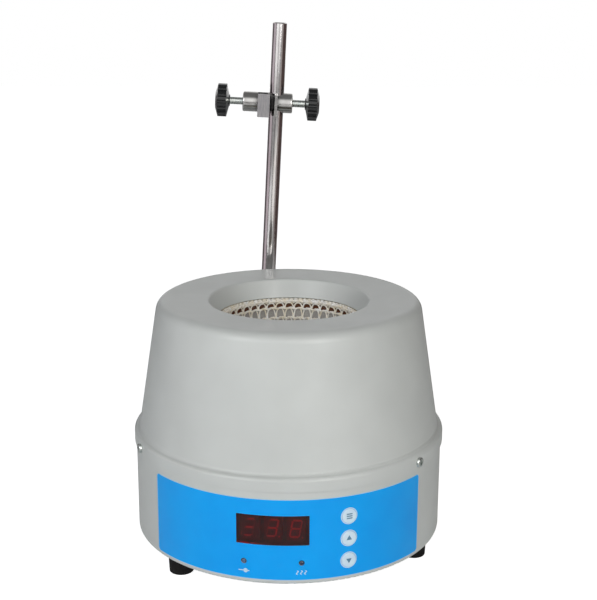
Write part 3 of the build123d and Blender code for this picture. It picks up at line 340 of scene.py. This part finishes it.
place = object_place(casing_enamel)
two_tone(
    casing_enamel,
    casing_shader,
    mottle(casing_enamel, place, enamel_cloud, 0.0, 1.0),
    "C8CBC9",
    "CED1CF",
)
casing_enamel.node_tree.links.new(
    mottle(casing_enamel, place, 12 * MM, 0.38, 0.46), casing_shader.inputs["Roughness"]
)
rise_and_fall(
    casing_enamel,
    casing_shader,
    mottle(casing_enamel, place, enamel_peel, 0.0, 1.0, 1.0),
    0.012 * MM,
)
dress(casing_enamel, "base_pan", "upper_shell")

# =====================================================================================
# Feet: three moulded rubber cones, dull black with a fine matt grain.
# =====================================================================================
foot_rubber, foot_shader = new_material("moulded_rubber", "131313", 0.75, Specular_IOR_Level=0.2)
place = object_place(foot_rubber)
two_tone(foot_rubber, foot_shader, mottle(foot_rubber, place, 6 * MM, 0.0, 1.0), "101010", "1B1A1A")
rise_and_fall(foot_rubber, foot_shader, mottle(foot_rubber, place, 0.5 * MM, 0.0, 1.0), 0.03 * MM)
dress(foot_rubber, "rubber_feet")

# =====================================================================================
# Small screws, nuts, posts and studs: steel, zinc plated and passivated, which leaves a
# bright surface with a faint blue-green cast and light scratches.
# =====================================================================================
zinc_steel, zinc_shader = new_material("zinc_plate", "C9D0CE", 0.28, 1.0)
place = object_place(zinc_steel)
two_tone(zinc_steel, zinc_shader, mottle(zinc_steel, place, 2.5 * MM, 0.0, 1.0), "BFC8C6", "DCDFDA")
zinc_steel.node_tree.links.new(
    mottle(zinc_steel, place, 0.8 * MM, 0.2, 0.38), zinc_shader.inputs["Roughness"]
)
rise_and_fall(zinc_steel, zinc_shader, mottle(zinc_steel, place, 0.4 * MM, 0.0, 1.0), 0.004 * MM)
dress(
    zinc_steel,
    *(
        "foot_screws",
        "foot_nuts",
        "casing_screws",
        "rivet_nuts",
        "board_screws",
        "bowl_screws",
        "post_screws",
    ),
    *(
        "holder_screws",
        "inlet_screws",
        "inlet_nuts",
        "rod_lock_screw",
        "pillar_caps",
        "display_studs",
        "key_studs",
    ),
    *("lower_posts", "upper_posts", "board_pillars", "temperature_probe", "jaw_screw", "rod_screw"),
)

# =====================================================================================
# Control label: polyester film printed blue on its back, with a narrow clear margin,
# stuck round the pan.  The film is smooth with a satin face.
# =====================================================================================
label_radius = 118.9 * MM         # outer face of the film
label_middle = -0.5               # degrees from the front
label_half_length = 54.0 * pi / 180 * label_radius
label_half_height = 30.8 * MM
label_centre_height = 34.3 * MM
label_corner = 3.0 * MM
label_margin = 0.35 * MM

label_film, label_shader = new_material("printed_film", "0E90E4", 0.2, Specular_IOR_Level=0.3)


def sums(material, operation, first, second=0.0, **more):
    """One step of arithmetic on numbers or sockets."""
    return add_node(
        material, "ShaderNodeMath", {0: first, 1: second}, operation=operation, **more
    ).outputs[0]


place = object_place(label_film)
parts = add_node(label_film, "ShaderNodeSeparateXYZ", {0: place})
turn = sums(
    label_film,
    "ARCTAN2",
    parts.outputs["X"],
    sums(label_film, "MULTIPLY", parts.outputs["Y"], -1.0),
)
along = sums(
    label_film, "MULTIPLY", sums(label_film, "SUBTRACT", turn, radians(label_middle)), label_radius
)
past_end = sums(
    label_film, "SUBTRACT", sums(label_film, "ABSOLUTE", along), label_half_length - label_corner
)
over_top = sums(
    label_film,
    "SUBTRACT",
    sums(
        label_film,
        "ABSOLUTE",
        sums(label_film, "SUBTRACT", parts.outputs["Z"], label_centre_height),
    ),
    label_half_height - label_corner,
)
corner_reach = sums(
    label_film,
    "SQRT",
    sums(
        label_film,
        "ADD",
        sums(label_film, "POWER", sums(label_film, "MAXIMUM", past_end, 0.0), 2.0),
        sums(label_film, "POWER", sums(label_film, "MAXIMUM", over_top, 0.0), 2.0),
    ),
)
straight_reach = sums(label_film, "MINIMUM", sums(label_film, "MAXIMUM", past_end, over_top), 0.0)
outwards = sums(
    label_film, "SUBTRACT", sums(label_film, "ADD", corner_reach, straight_reach), label_corner
)
margin = add_node(
    label_film,
    "ShaderNodeMapRange",
    {"Value": outwards, "From Min": -label_margin - 0.1 * MM, "From Max": -label_margin + 0.1 * MM},
)
print_blue = add_node(
    label_film, "ShaderNodeMix", {0: mottle(label_film, place, 30 * MM, 0.0, 1.0)}, data_type="RGBA"
)
print_blue.inputs[6].default_value = linear("03A2FA")
print_blue.inputs[7].default_value = linear("05AAFF")
film_colour = add_node(
    label_film, "ShaderNodeMix", {0: margin.outputs[0], 6: print_blue.outputs[2]}, data_type="RGBA"
)
film_colour.inputs[7].default_value = linear("B9DCEC")
label_film.node_tree.links.new(film_colour.outputs[2], label_shader.inputs["Base Color"])
rise_and_fall(label_film, label_shader, mottle(label_film, place, 0.9 * MM, 0.0, 1.0), 0.004 * MM)
dress(label_film, "control_label")

# =====================================================================================
# Signs under the two lamps: a setting slider and three waves of heat, printed in pale
# ink on the film.
# =====================================================================================
ink_thickness = 0.04 * MM
sign_height = 9.6 * MM
sign_rise = 3.2 * MM
sign_stroke = 0.8 * MM
lamp_azimuth = -5.5
lamp_reach = 20.6 * MM            # lamps either side of the display's middle
pale_ink, ink_shader = new_material("pale_ink", "CFEAF8", 0.5)
place = object_place(pale_ink)
two_tone(pale_ink, ink_shader, mottle(pale_ink, place, 0.6 * MM, 0.0, 1.0), "C4E4F6", "DAF0FA")


def thicken(shape, thickness):
    """Turns flat faces in the XZ plane into a plate that rises towards -Y."""
    lifted = bmesh.ops.extrude_face_region(shape, geom=list(shape.faces))
    corners = [item for item in lifted["geom"] if isinstance(item, bmesh.types.BMVert)]
    bmesh.ops.translate(shape, vec=(0, -thickness, 0), verts=corners)
    bmesh.ops.recalc_face_normals(shape, faces=shape.faces)


def flat_bar(shape, across, up, width, height, steps=1):
    """A flat bar in the XZ plane."""
    made = bmesh.ops.create_grid(shape, x_segments=1, y_segments=steps, size=0.5)["verts"]
    bmesh.ops.scale(shape, vec=(width, height, 1), verts=made)
    bmesh.ops.rotate(shape, cent=(0, 0, 0), matrix=Matrix.Rotation(pi / 2, 3, "X"), verts=made)
    bmesh.ops.translate(shape, vec=(across, 0, up), verts=made)
    return made


def flat_disc(shape, across, up, radius, corners, first_corner=0.0):
    """A flat disc, or a regular figure with few corners, in the XZ plane."""
    made = bmesh.ops.create_circle(shape, cap_ends=True, radius=radius, segments=corners)["verts"]
    bmesh.ops.rotate(
        shape, cent=(0, 0, 0), matrix=Matrix.Rotation(radians(first_corner), 3, "Z"), verts=made
    )
    bmesh.ops.rotate(shape, cent=(0, 0, 0), matrix=Matrix.Rotation(pi / 2, 3, "X"), verts=made)
    bmesh.ops.translate(shape, vec=(across, 0, up), verts=made)
    return made


def set_on_casing(shape, azimuth, distance, height):
    """Moves a shape drawn at the origin to a place on the casing, facing outwards."""
    spin = Matrix.Rotation(radians(azimuth), 4, "Z")
    bmesh.ops.transform(
        shape, matrix=spin @ Matrix.Translation((0, -distance, height)), verts=shape.verts
    )


lamp_turn = degrees(lamp_reach / label_radius)
slider = bmesh.new()
flat_bar(slider, 0, 0, 8.0 * MM, sign_stroke * 0.8)
flat_disc(slider, 1.2 * MM, 0, sign_rise / 2, 20)
thicken(slider, ink_thickness)
set_on_casing(slider, lamp_azimuth - lamp_turn, label_radius + 0.03 * MM, sign_height)
set_sign = finish_mesh("set_sign", slider, pale_ink, smooth=False)
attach(set_sign, "mantle")

waves = bmesh.new()
for step in (-1, 0, 1):
    wave = flat_bar(waves, 0, 0, sign_stroke, sign_rise, steps=12)
    for corner in wave:
        corner.co.x += 0.6 * MM * sin(corner.co.z / sign_rise * 2 * pi) + step * 2.9 * MM
thicken(waves, ink_thickness)
set_on_casing(waves, lamp_azimuth + lamp_turn, label_radius + 0.03 * MM, sign_height)
heat_sign = finish_mesh("heat_sign", waves, pale_ink, smooth=False)
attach(heat_sign, "mantle")

# =====================================================================================
# Display: three digit blocks of dark resin with paler figures cast in, seen unlit through
# a deep red acrylic window that is clipped into the pan.
# =====================================================================================
display_azimuth = -5.5
digit_face = 113.47 * MM
figure_height = 14.2 * MM
figure_width = 8.4 * MM
figure_line = 1.45 * MM
figure_slant = tan(radians(10.0))
figure_sink = 0.25 * MM
digit_pitch = 17.0 * MM
display_middle = 41.55 * MM

window_filter, window_shader = new_material(
    "red_acrylic", "D8141C", 0.06, Transmission_Weight=1.0, IOR=1.49, Specular_IOR_Level=0.25
)
place = object_place(window_filter)
window_filter.node_tree.links.new(
    mottle(window_filter, place, 9 * MM, 0.04, 0.09), window_shader.inputs["Roughness"]
)
dress(window_filter, "display_window")

digit_resin, digit_shader = new_material("dark_resin", "35191A", 0.6)
place = object_place(digit_resin)
two_tone(
    digit_resin, digit_shader, mottle(digit_resin, place, 3 * MM, 0.0, 1.0), "2E1516", "3D1E1F"
)
rise_and_fall(digit_resin, digit_shader, mottle(digit_resin, place, 0.4 * MM, 0.0, 1.0), 0.01 * MM)
dress(digit_resin, "digit_left", "digit_middle", "digit_right")

figure_resin, figure_shader = new_material("diffuser_resin", "B98A84", 0.55)
place = object_place(figure_resin)
two_tone(
    figure_resin, figure_shader, mottle(figure_resin, place, 1.2 * MM, 0.0, 1.0), "AE7E78", "C49A94"
)
half_across = (figure_width - figure_line) / 2
half_rise = (figure_height - figure_line) / 2
for step, name in enumerate(("left", "middle", "right")):
    figure = bmesh.new()
    for level in (-1, 0, 1):
        flat_bar(
            figure, 0, level * half_rise, 2 * half_across - figure_line * 0.6, figure_line * 0.9
        )
    for side in (-1, 1):
        for level in (-1, 1):
            flat_bar(
                figure,
                side * half_across,
                level * half_rise / 2,
                figure_line * 0.9,
                half_rise - figure_line * 0.6,
            )
    flat_disc(figure, figure_width / 2 + 1.7 * MM, -figure_height / 2 + 0.7 * MM, 0.7 * MM, 16)
    for corner in figure.verts:
        corner.co.x += corner.co.z * figure_slant + (step - 1) * digit_pitch - 0.8 * MM
    thicken(figure, figure_sink * 0.9)
    set_on_casing(figure, display_azimuth, digit_face - figure_sink, display_middle)
    figure_piece = finish_mesh(f"figure_{name}", figure, figure_resin, smooth=False)
    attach(figure_piece, "mantle")

# =====================================================================================
# Lamps: two small domed light-emitting diodes, one in frosted resin and one in clear
# resin that looks dark while it is off.
# =====================================================================================
frosted_resin, frosted_shader = new_material(
    "frosted_resin", "46566F", 0.35, Coat_Weight=0.6, Coat_Roughness=0.08
)
place = object_place(frosted_resin)
two_tone(
    frosted_resin,
    frosted_shader,
    mottle(frosted_resin, place, 1.0 * MM, 0.0, 1.0),
    "3A4862",
    "566884",
)
dress(frosted_resin, "set_lamp")
smoked_resin, smoked_shader = new_material(
    "smoked_resin", "0B1C3C", 0.08, Coat_Weight=1.0, Coat_Roughness=0.03
)
place = object_place(smoked_resin)
two_tone(
    smoked_resin, smoked_shader, mottle(smoked_resin, place, 1.0 * MM, 0.0, 1.0), "0A1834", "10254A"
)
dress(smoked_resin, "heat_lamp")

# =====================================================================================
# Keys: three round caps moulded in pale blue-white ABS, each with a printed sign: bars
# for the menu, and arrows up and down.
# =====================================================================================
key_azimuth = 21.1
key_face = 119.6 * MM
key_ring_inner = 5.65 * MM       # clear of the key's hole in the film
key_ring_outer = 6.3 * MM
key_plastic, key_shader = new_material(
    "pale_abs", "CFE6F6", 0.38, Coat_Weight=0.2, Coat_Roughness=0.2
)
place = object_place(key_plastic)
two_tone(key_plastic, key_shader, mottle(key_plastic, place, 5 * MM, 0.0, 1.0), "D2E9FC", "E0F2FE")
rise_and_fall(key_plastic, key_shader, mottle(key_plastic, place, 0.35 * MM, 0.0, 1.0), 0.01 * MM)
dress(key_plastic, "set_key", "up_key", "down_key")
key_ink, key_ink_shader = new_material("slate_ink", "4D7F9E", 0.5)
place = object_place(key_ink)
two_tone(key_ink, key_ink_shader, mottle(key_ink, place, 0.5 * MM, 0.0, 1.0), "467896", "5C8CA9")
for name, height in (("set_key", 49.7), ("up_key", 32.7), ("down_key", 15.8)):
    sign = bmesh.new()
    if name == "set_key":
        for level in (-1, 0, 1):
            flat_bar(sign, 0, level * 1.6 * MM, 4.4 * MM, 0.85 * MM)
    else:
        flat_disc(sign, 0, 0, 2.4 * MM, 3, first_corner=0 if name == "up_key" else 180)
    thicken(sign, ink_thickness)
    set_on_casing(sign, key_azimuth, key_face, height * MM)
    sign_piece = finish_mesh(f"{name}_sign", sign, key_ink, smooth=False)
    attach(sign_piece, name)
    ring = bmesh.new()
    for reach in (key_ring_inner, key_ring_outer):
        bmesh.ops.create_circle(ring, radius=reach, segments=48)
    bmesh.ops.bridge_loops(ring, edges=ring.edges)
    bmesh.ops.rotate(ring, cent=(0, 0, 0), matrix=Matrix.Rotation(pi / 2, 3, "X"), verts=ring.verts)
    for corner in ring.verts:
        corner.co.y += label_radius - (label_radius**2 - corner.co.x**2) ** 0.5
    thicken(ring, ink_thickness)
    set_on_casing(ring, key_azimuth, label_radius + 0.03 * MM, height * MM)
    ring_piece = finish_mesh(f"{name}_ring", ring, pale_ink, smooth=False)
    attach(ring_piece, "mantle")

# =====================================================================================
# Circuit boards: glass-epoxy laminate under green solder mask, whose weave and copper
# show through faintly, with black moulded key switches.
# =====================================================================================
board_green, board_shader = new_material(
    "solder_mask", "1B6B3C", 0.25, Coat_Weight=0.4, Coat_Roughness=0.15
)
place = object_place(board_green)
two_tone(
    board_green, board_shader, mottle(board_green, place, 2.2 * MM, 0.0, 1.0), "175F35", "2A7F49"
)
rise_and_fall(board_green, board_shader, mottle(board_green, place, 0.6 * MM, 0.0, 1.0), 0.02 * MM)
dress(board_green, "display_board", "key_board", "power_board")
black_moulding, black_shader = new_material("black_nylon", "16171A", 0.45)
place = object_place(black_moulding)
two_tone(
    black_moulding,
    black_shader,
    mottle(black_moulding, place, 8 * MM, 0.0, 1.0),
    "121316",
    "1E2023",
)
rise_and_fall(
    black_moulding, black_shader, mottle(black_moulding, place, 0.45 * MM, 0.0, 1.0), 0.015 * MM
)
dress(
    black_moulding,
    "key_switches",
    "triac",
    "mains_inlet",
    "switch_frame",
    "switch_rocker",
    "fuse_holder",
    "fuse_cap",
)
terminal_green, terminal_shader = new_material("green_pbt", "1F6A38", 0.4)
place = object_place(terminal_green)
two_tone(
    terminal_green,
    terminal_shader,
    mottle(terminal_green, place, 4 * MM, 0.0, 1.0),
    "1B6032",
    "287642",
)
dress(terminal_green, "terminal_block")

# =====================================================================================
# Inner bowl, heat shield and heat sink: spun, blanked and extruded aluminium, left bare,
# with the fine marks of the tool.
# =====================================================================================
bare_aluminium, aluminium_shader = new_material("bare_aluminium", "C9CACC", 0.38, 1.0)
place = object_place(bare_aluminium)
two_tone(
    bare_aluminium,
    aluminium_shader,
    mottle(bare_aluminium, place, 14 * MM, 0.0, 1.0),
    "BFC0C3",
    "D3D4D5",
)
bare_aluminium.node_tree.links.new(
    mottle(bare_aluminium, place, 1.5 * MM, 0.3, 0.46), aluminium_shader.inputs["Roughness"]
)
dress(bare_aluminium, "inner_bowl", "heat_shield", "heat_sink")
iron_varnish, varnish_shader = new_material("varnished_iron", "3A3836", 0.4, 0.3)
place = object_place(iron_varnish)
two_tone(
    iron_varnish, varnish_shader, mottle(iron_varnish, place, 3 * MM, 0.0, 1.0), "2F2D2C", "4A4744"
)
dress(iron_varnish, "mains_transformer")
white_ceramic, ceramic_shader = new_material("steatite", "E6E1D4", 0.55)
place = object_place(white_ceramic)
two_tone(
    white_ceramic,
    ceramic_shader,
    mottle(white_ceramic, place, 2 * MM, 0.0, 1.0),
    "DDD6C6",
    "EEEADF",
)
dress(white_ceramic, "ceramic_bushes")

# =====================================================================================
# Insulation: mineral wool packed round the basket in the inner bowl, cream, with a torn
# felted surface.
# =====================================================================================
wool_cream, wool_shader = new_material("mineral_wool", "D6CDB4", 0.95)
place = object_place(wool_cream)
wool_fibres = mottle(wool_cream, place, 2.2 * MM, 0.0, 1.0, 6.0)
two_tone(wool_cream, wool_shader, wool_fibres, "B9AE92", "E6DFCB")
rise_and_fall(wool_cream, wool_shader, wool_fibres, 0.8 * MM)
wool = bmesh.new()
wool.from_mesh(nodes["insulation"].data)
bmesh.ops.remove_doubles(wool, verts=wool.verts, dist=0.01 * MM)
bmesh.ops.recalc_face_normals(wool, faces=wool.faces)
wool_packing = finish_mesh("wool_packing", wool, wool_cream, smooth=False)
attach(wool_packing, "mantle")
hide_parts("insulation")

# =====================================================================================
# Heating basket: glass yarn knitted in rounds into a bowl, with the heating wire worked in,
# over a thin felt.  Its edge is bound over a cord under the casing's lip.
# =====================================================================================
basket_centre = 164.8 * MM
flask_side = 53.1 * MM            # inner face of the knitting
row_count = 11
row_start = 0.04                  # first round below the rim, in rounds
stitch_count = 46
yarn_radius = 0.62 * MM
cord_radius = 0.95 * MM
edge_yarn_radius = 0.8 * MM
stitch_points = 12
row_angle = radians(90.0 / row_count)

glass_yarn, yarn_shader = new_material(
    "glass_yarn", "F4F2EC", 0.5, Sheen_Weight=0.3, Sheen_Roughness=0.4
)
place = object_place(glass_yarn)
two_tone(
    glass_yarn, yarn_shader, mottle(glass_yarn, place, 4.5 * MM, 0.0, 1.0, 3.0), "F2E6CE", "FFFFFF"
)
rise_and_fall(
    glass_yarn, yarn_shader, mottle(glass_yarn, place, 0.35 * MM, 0.0, 1.0, 3.0), 0.12 * MM
)
felt_with_rim_shadow, felt_shader = new_material("basket_felt", "7C746B", 0.95)
place = object_place(felt_with_rim_shadow)
felt_height = add_node(felt_with_rim_shadow, "ShaderNodeSeparateXYZ", {0: place}).outputs["Z"]
# Painted shadow: the felt turns dark brown in a band just under the rim, where the lip shades it; grey below,
# with a random mottle.
rim_painted_shadow = add_node(
    felt_with_rim_shadow, "ShaderNodeMapRange", {
        "Value": felt_height,
        "From Min": basket_centre - 9.5 * MM,
        "From Max": basket_centre - 7.0 * MM,
    }
)
felt_shadow_and_mottle = sums(
    felt_with_rim_shadow,
    "ADD",
    rim_painted_shadow.outputs[0],
    mottle(felt_with_rim_shadow, place, 2.5 * MM, -0.15, 0.15),
    use_clamp=True,
)
two_tone(felt_with_rim_shadow, felt_shader, felt_shadow_and_mottle, "A9A6A2", "5A3620")
rise_and_fall(felt_with_rim_shadow, felt_shader, mottle(felt_with_rim_shadow, place, 0.7 * MM, 0.0, 1.0, 4.0), 0.3 * MM)

felt = bmesh.new()
felt_inside = flask_side + 1.9 * MM
felt_thickness = 1.0 * MM
pole = felt.verts.new((0, 0, basket_centre - felt_inside))
bmesh.ops.spin(
    felt,
    geom=[pole],
    cent=(0, 0, basket_centre),
    axis=(0, 1, 0),
    dvec=(0, 0, 0),
    angle=-pi / 2 + 0.012,
    steps=24,
)
felt_profile = list(felt.verts) + list(felt.edges)
bmesh.ops.spin(
    felt,
    geom=felt_profile,
    cent=(0, 0, 0),
    axis=(0, 0, 1),
    dvec=(0, 0, 0),
    angle=2 * pi,
    steps=96,
    use_merge=True,
)
bmesh.ops.remove_doubles(felt, verts=felt.verts, dist=0.02 * MM)
bmesh.ops.recalc_face_normals(felt, faces=felt.faces)
felt_lining = finish_mesh("felt_lining", felt, felt_with_rim_shadow)
felt_wall = felt_lining.modifiers.new("felt_wall", "SOLIDIFY")
felt_wall.thickness = felt_thickness
felt_wall.offset = 1.0
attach(felt_lining, "mantle")


def yarn(name, lines, radius, sides=1):
    """Yarn of a real thickness along closed lines of points, made a mesh."""
    curve = bpy.data.curves.new(name, "CURVE")
    curve.dimensions = "3D"
    curve.bevel_depth = radius
    curve.bevel_resolution = sides
    for line in lines:
        spline = curve.splines.new("POLY")
        spline.points.add(len(line) - 1)
        for point, spot in zip(spline.points, line):
            point.co = (*spot, 1.0)
        spline.use_cyclic_u = True
    drawn = bpy.data.objects.new(name + "_line", curve)
    scene.collection.objects.link(drawn)
    bpy.context.view_layer.update()
    mesh = bpy.data.meshes.new_from_object(
        drawn.evaluated_get(bpy.context.evaluated_depsgraph_get())
    )
    bpy.data.objects.remove(drawn)
    mesh.name = name
    mesh.materials.clear()
    mesh.materials.append(glass_yarn)
    mesh.shade_smooth()
    made = bpy.data.objects.new(name, mesh)
    scene.collection.objects.link(made)
    return made


def on_basket(turn, fall, out):
    """A point of the bowl: turn round the axis, fall below the rim, both in radians, and depth out."""
    reach = flask_side + out
    return (
        reach * cos(fall) * sin(turn),
        -reach * cos(fall) * cos(turn),
        basket_centre - reach * sin(fall),
    )


shuffle = random.Random(7)
rounds = []
laid_cords = []
for row in range(row_count):
    ridge = (row + row_start) * row_angle
    open_share = 0.29 if row == 0 else 0.5       # the first round is close knit above its openings
    fall = ridge + (1.0 - open_share) * row_angle
    stitches = stitch_count if cos(fall) > 0.62 else stitch_count // 2 if cos(fall) > 0.3 else stitch_count // 4
    if row < row_count - 1:
        line = []
        for stitch in range(stitches):
            lean = shuffle.uniform(-0.03, 0.03)
            reach = shuffle.uniform(1.12, 1.24) * open_share
            for step in range(stitch_points):
                phase = 2 * pi * step / stitch_points
                turn = (
                    stitch + phase / (2 * pi) + 0.165 * sin(phase) + 0.03 * sin(2 * phase) + lean
                ) * 2 * pi / stitches
                line.append(
                    on_basket(
                        turn,
                        fall - reach * row_angle * cos(phase),
                        (1.0 - 0.5 * cos(2 * phase)) * MM,
                    )
                )
        rounds.append(line)
    cord = []
    for point in range(stitches * 4):
        turn = 2 * pi * point / (stitches * 4)
        wave = 0.06 * row_angle * sin(turn * stitches) + 0.03 * row_angle * sin(turn * 5 + row)
        cord.append(on_basket(turn, ridge + wave, (1.5 + 0.25 * cos(turn * stitches)) * MM))
    laid_cords.append(cord)
knitted_rounds = yarn("knitted_rounds", rounds, yarn_radius)
heating_cord = yarn("heating_cord", laid_cords[1:], cord_radius, 2)
edge_points = stitch_count * 2 * 6    # six to each of two stitches over every one below
close_rounds = []
for level, lift in ((0.12, 1.0), (0.3, 1.3)):
    close_round = []
    for point in range(edge_points):
        turn = 2 * pi * point / edge_points
        swing = turn * stitch_count * 2
        close_round.append(
            on_basket(
                turn + 0.012 * sin(2 * swing),
                (level + 0.13 * cos(swing)) * row_angle,
                (lift - 0.4 * cos(2 * swing)) * MM,
            )
        )
    close_rounds.append(close_round)
edge_rounds = yarn("edge_rounds", close_rounds, edge_yarn_radius)
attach(edge_rounds, "mantle")
for piece in (knitted_rounds, heating_cord):
    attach(piece, "mantle")

cord_height = -1.9 * MM           # of the edge cord below the rim
cord_reach = 53.9 * MM
cord_line = []
binding = []
cord_points = 208
for point in range(cord_points):
    turn = 2 * pi * point / cord_points
    cord_line.append((cord_reach * sin(turn), -cord_reach * cos(turn), basket_centre + cord_height))
binding_turns = 104
for point in range(binding_turns * 8):
    turn = 2 * pi * point / (binding_turns * 8)
    roll = 2 * pi * point / 8
    reach = cord_reach + 1.15 * MM * cos(roll)
    binding.append(
        (reach * sin(turn), -reach * cos(turn), basket_centre + cord_height + 1.25 * MM * sin(roll))
    )
edge_cord = yarn("edge_cord", [cord_line], 0.95 * MM, 2)
edge_binding = yarn("edge_binding", [binding], 0.5 * MM)
for piece in (edge_cord, edge_binding):
    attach(piece, "mantle")
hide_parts("heater_basket")

# =====================================================================================
# Stand rod: bright drawn steel, ground round and polished, with faint grinding rings and a
# few handling marks, held in a bored holder block.
# =====================================================================================
rod_steel, rod_shader = new_material("ground_steel", "E0DCDB", 0.12, 1.0)
place = object_place(rod_steel)
rings = add_node(
    rod_steel, "ShaderNodeMapping", {"Vector": place, "Scale": (0.08, 0.08, 1.0)}
).outputs[0]
two_tone(rod_steel, rod_shader, mottle(rod_steel, place, 18 * MM, 0.0, 1.0), "D9D4D3", "E8E5E4")
rod_steel.node_tree.links.new(
    mottle(rod_steel, rings, 0.8 * MM, 0.08, 0.15), rod_shader.inputs["Roughness"]
)
rise_and_fall(rod_steel, rod_shader, mottle(rod_steel, rings, 0.5 * MM, 0.0, 1.0, 3.0), 0.003 * MM)
dress(rod_steel, "support_rod")

# =====================================================================================
# Clamp and rod holder: turned and milled steel, nickel plated dull, with tool marks, and painted
# shade darkening their recesses.  The jaw block keeps the upright grain of the mill.
# =====================================================================================
recess_reach = 9.0 * MM
turned_steel, turned_shader = new_material("turned_steel", "D0CECC", 0.17, 1.0)


def paint_recess_shade(material, shader, colour):
    """Darkens a metal's colour where it faces another wall within reach: painted shade in the recesses."""
    nearness = add_node(
        material,
        "ShaderNodeAmbientOcclusion",
        {"Distance": recess_reach},
        samples=8,
        only_local=False,
    )
    painted_shade = add_node(
        material, "ShaderNodeMapRange", {
            "Value": nearness.outputs["AO"],
            "From Min": 0.42,
            "From Max": 0.72,
            "To Min": 0.03,
            "To Max": 1.0,
        }
    )
    shaded_colour = add_node(material, "ShaderNodeMix", {0: painted_shade.outputs[0], 7: colour}, data_type="RGBA")
    shaded_colour.inputs[6].default_value = linear("050505")
    material.node_tree.links.new(shaded_colour.outputs[2], shader.inputs["Base Color"])


place = object_place(turned_steel)
turned_tone = two_tone(
    turned_steel, turned_shader, mottle(turned_steel, place, 6 * MM, 0.0, 1.0), "C6C4C2", "DAD9D6"
)
# painted shade in the recesses of the turned steel
paint_recess_shade(turned_steel, turned_shader, turned_tone)
tool_lines = add_node(
    turned_steel, "ShaderNodeMapping", {"Vector": place, "Scale": (1.0, 0.1, 0.1)}
).outputs[0]
rise_and_fall(
    turned_steel,
    turned_shader,
    mottle(turned_steel, tool_lines, 0.35 * MM, 0.0, 1.0, 3.0),
    0.006 * MM,
)
dress(turned_steel, "clamp_body", "rod_holder")
milled_steel, milled_shader = new_material("milled_steel", "9A9899", 0.5, 1.0)
place = object_place(milled_steel)
mill_lines = add_node(
    milled_steel, "ShaderNodeMapping", {"Vector": place, "Scale": (1.0, 1.0, 0.06)}
).outputs[0]
milled_tone = two_tone(
    milled_steel,
    milled_shader,
    mottle(milled_steel, mill_lines, 0.5 * MM, 0.0, 1.0, 3.0),
    "7E7C82",
    "A19F9E",
)
# painted shade in the recesses of the jaw block
paint_recess_shade(milled_steel, milled_shader, milled_tone)
rise_and_fall(
    milled_steel,
    milled_shader,
    mottle(milled_steel, mill_lines, 0.3 * MM, 0.0, 1.0, 3.0),
    0.02 * MM,
)
dress(milled_steel, "jaw_block")

# =====================================================================================
# Knobs: fluted hand knobs moulded in black phenolic, which takes a hard shine on its
# edges.
# =====================================================================================
phenolic, phenolic_shader = new_material(
    "black_phenolic", "0D0E10", 0.24, Coat_Weight=0.35, Coat_Roughness=0.08
)
place = object_place(phenolic)
two_tone(phenolic, phenolic_shader, mottle(phenolic, place, 6 * MM, 0.0, 1.0), "0B0C0E", "15171A")
rise_and_fall(phenolic, phenolic_shader, mottle(phenolic, place, 0.8 * MM, 0.0, 1.0), 0.008 * MM)
dress(phenolic, "jaw_knob", "rod_knob")
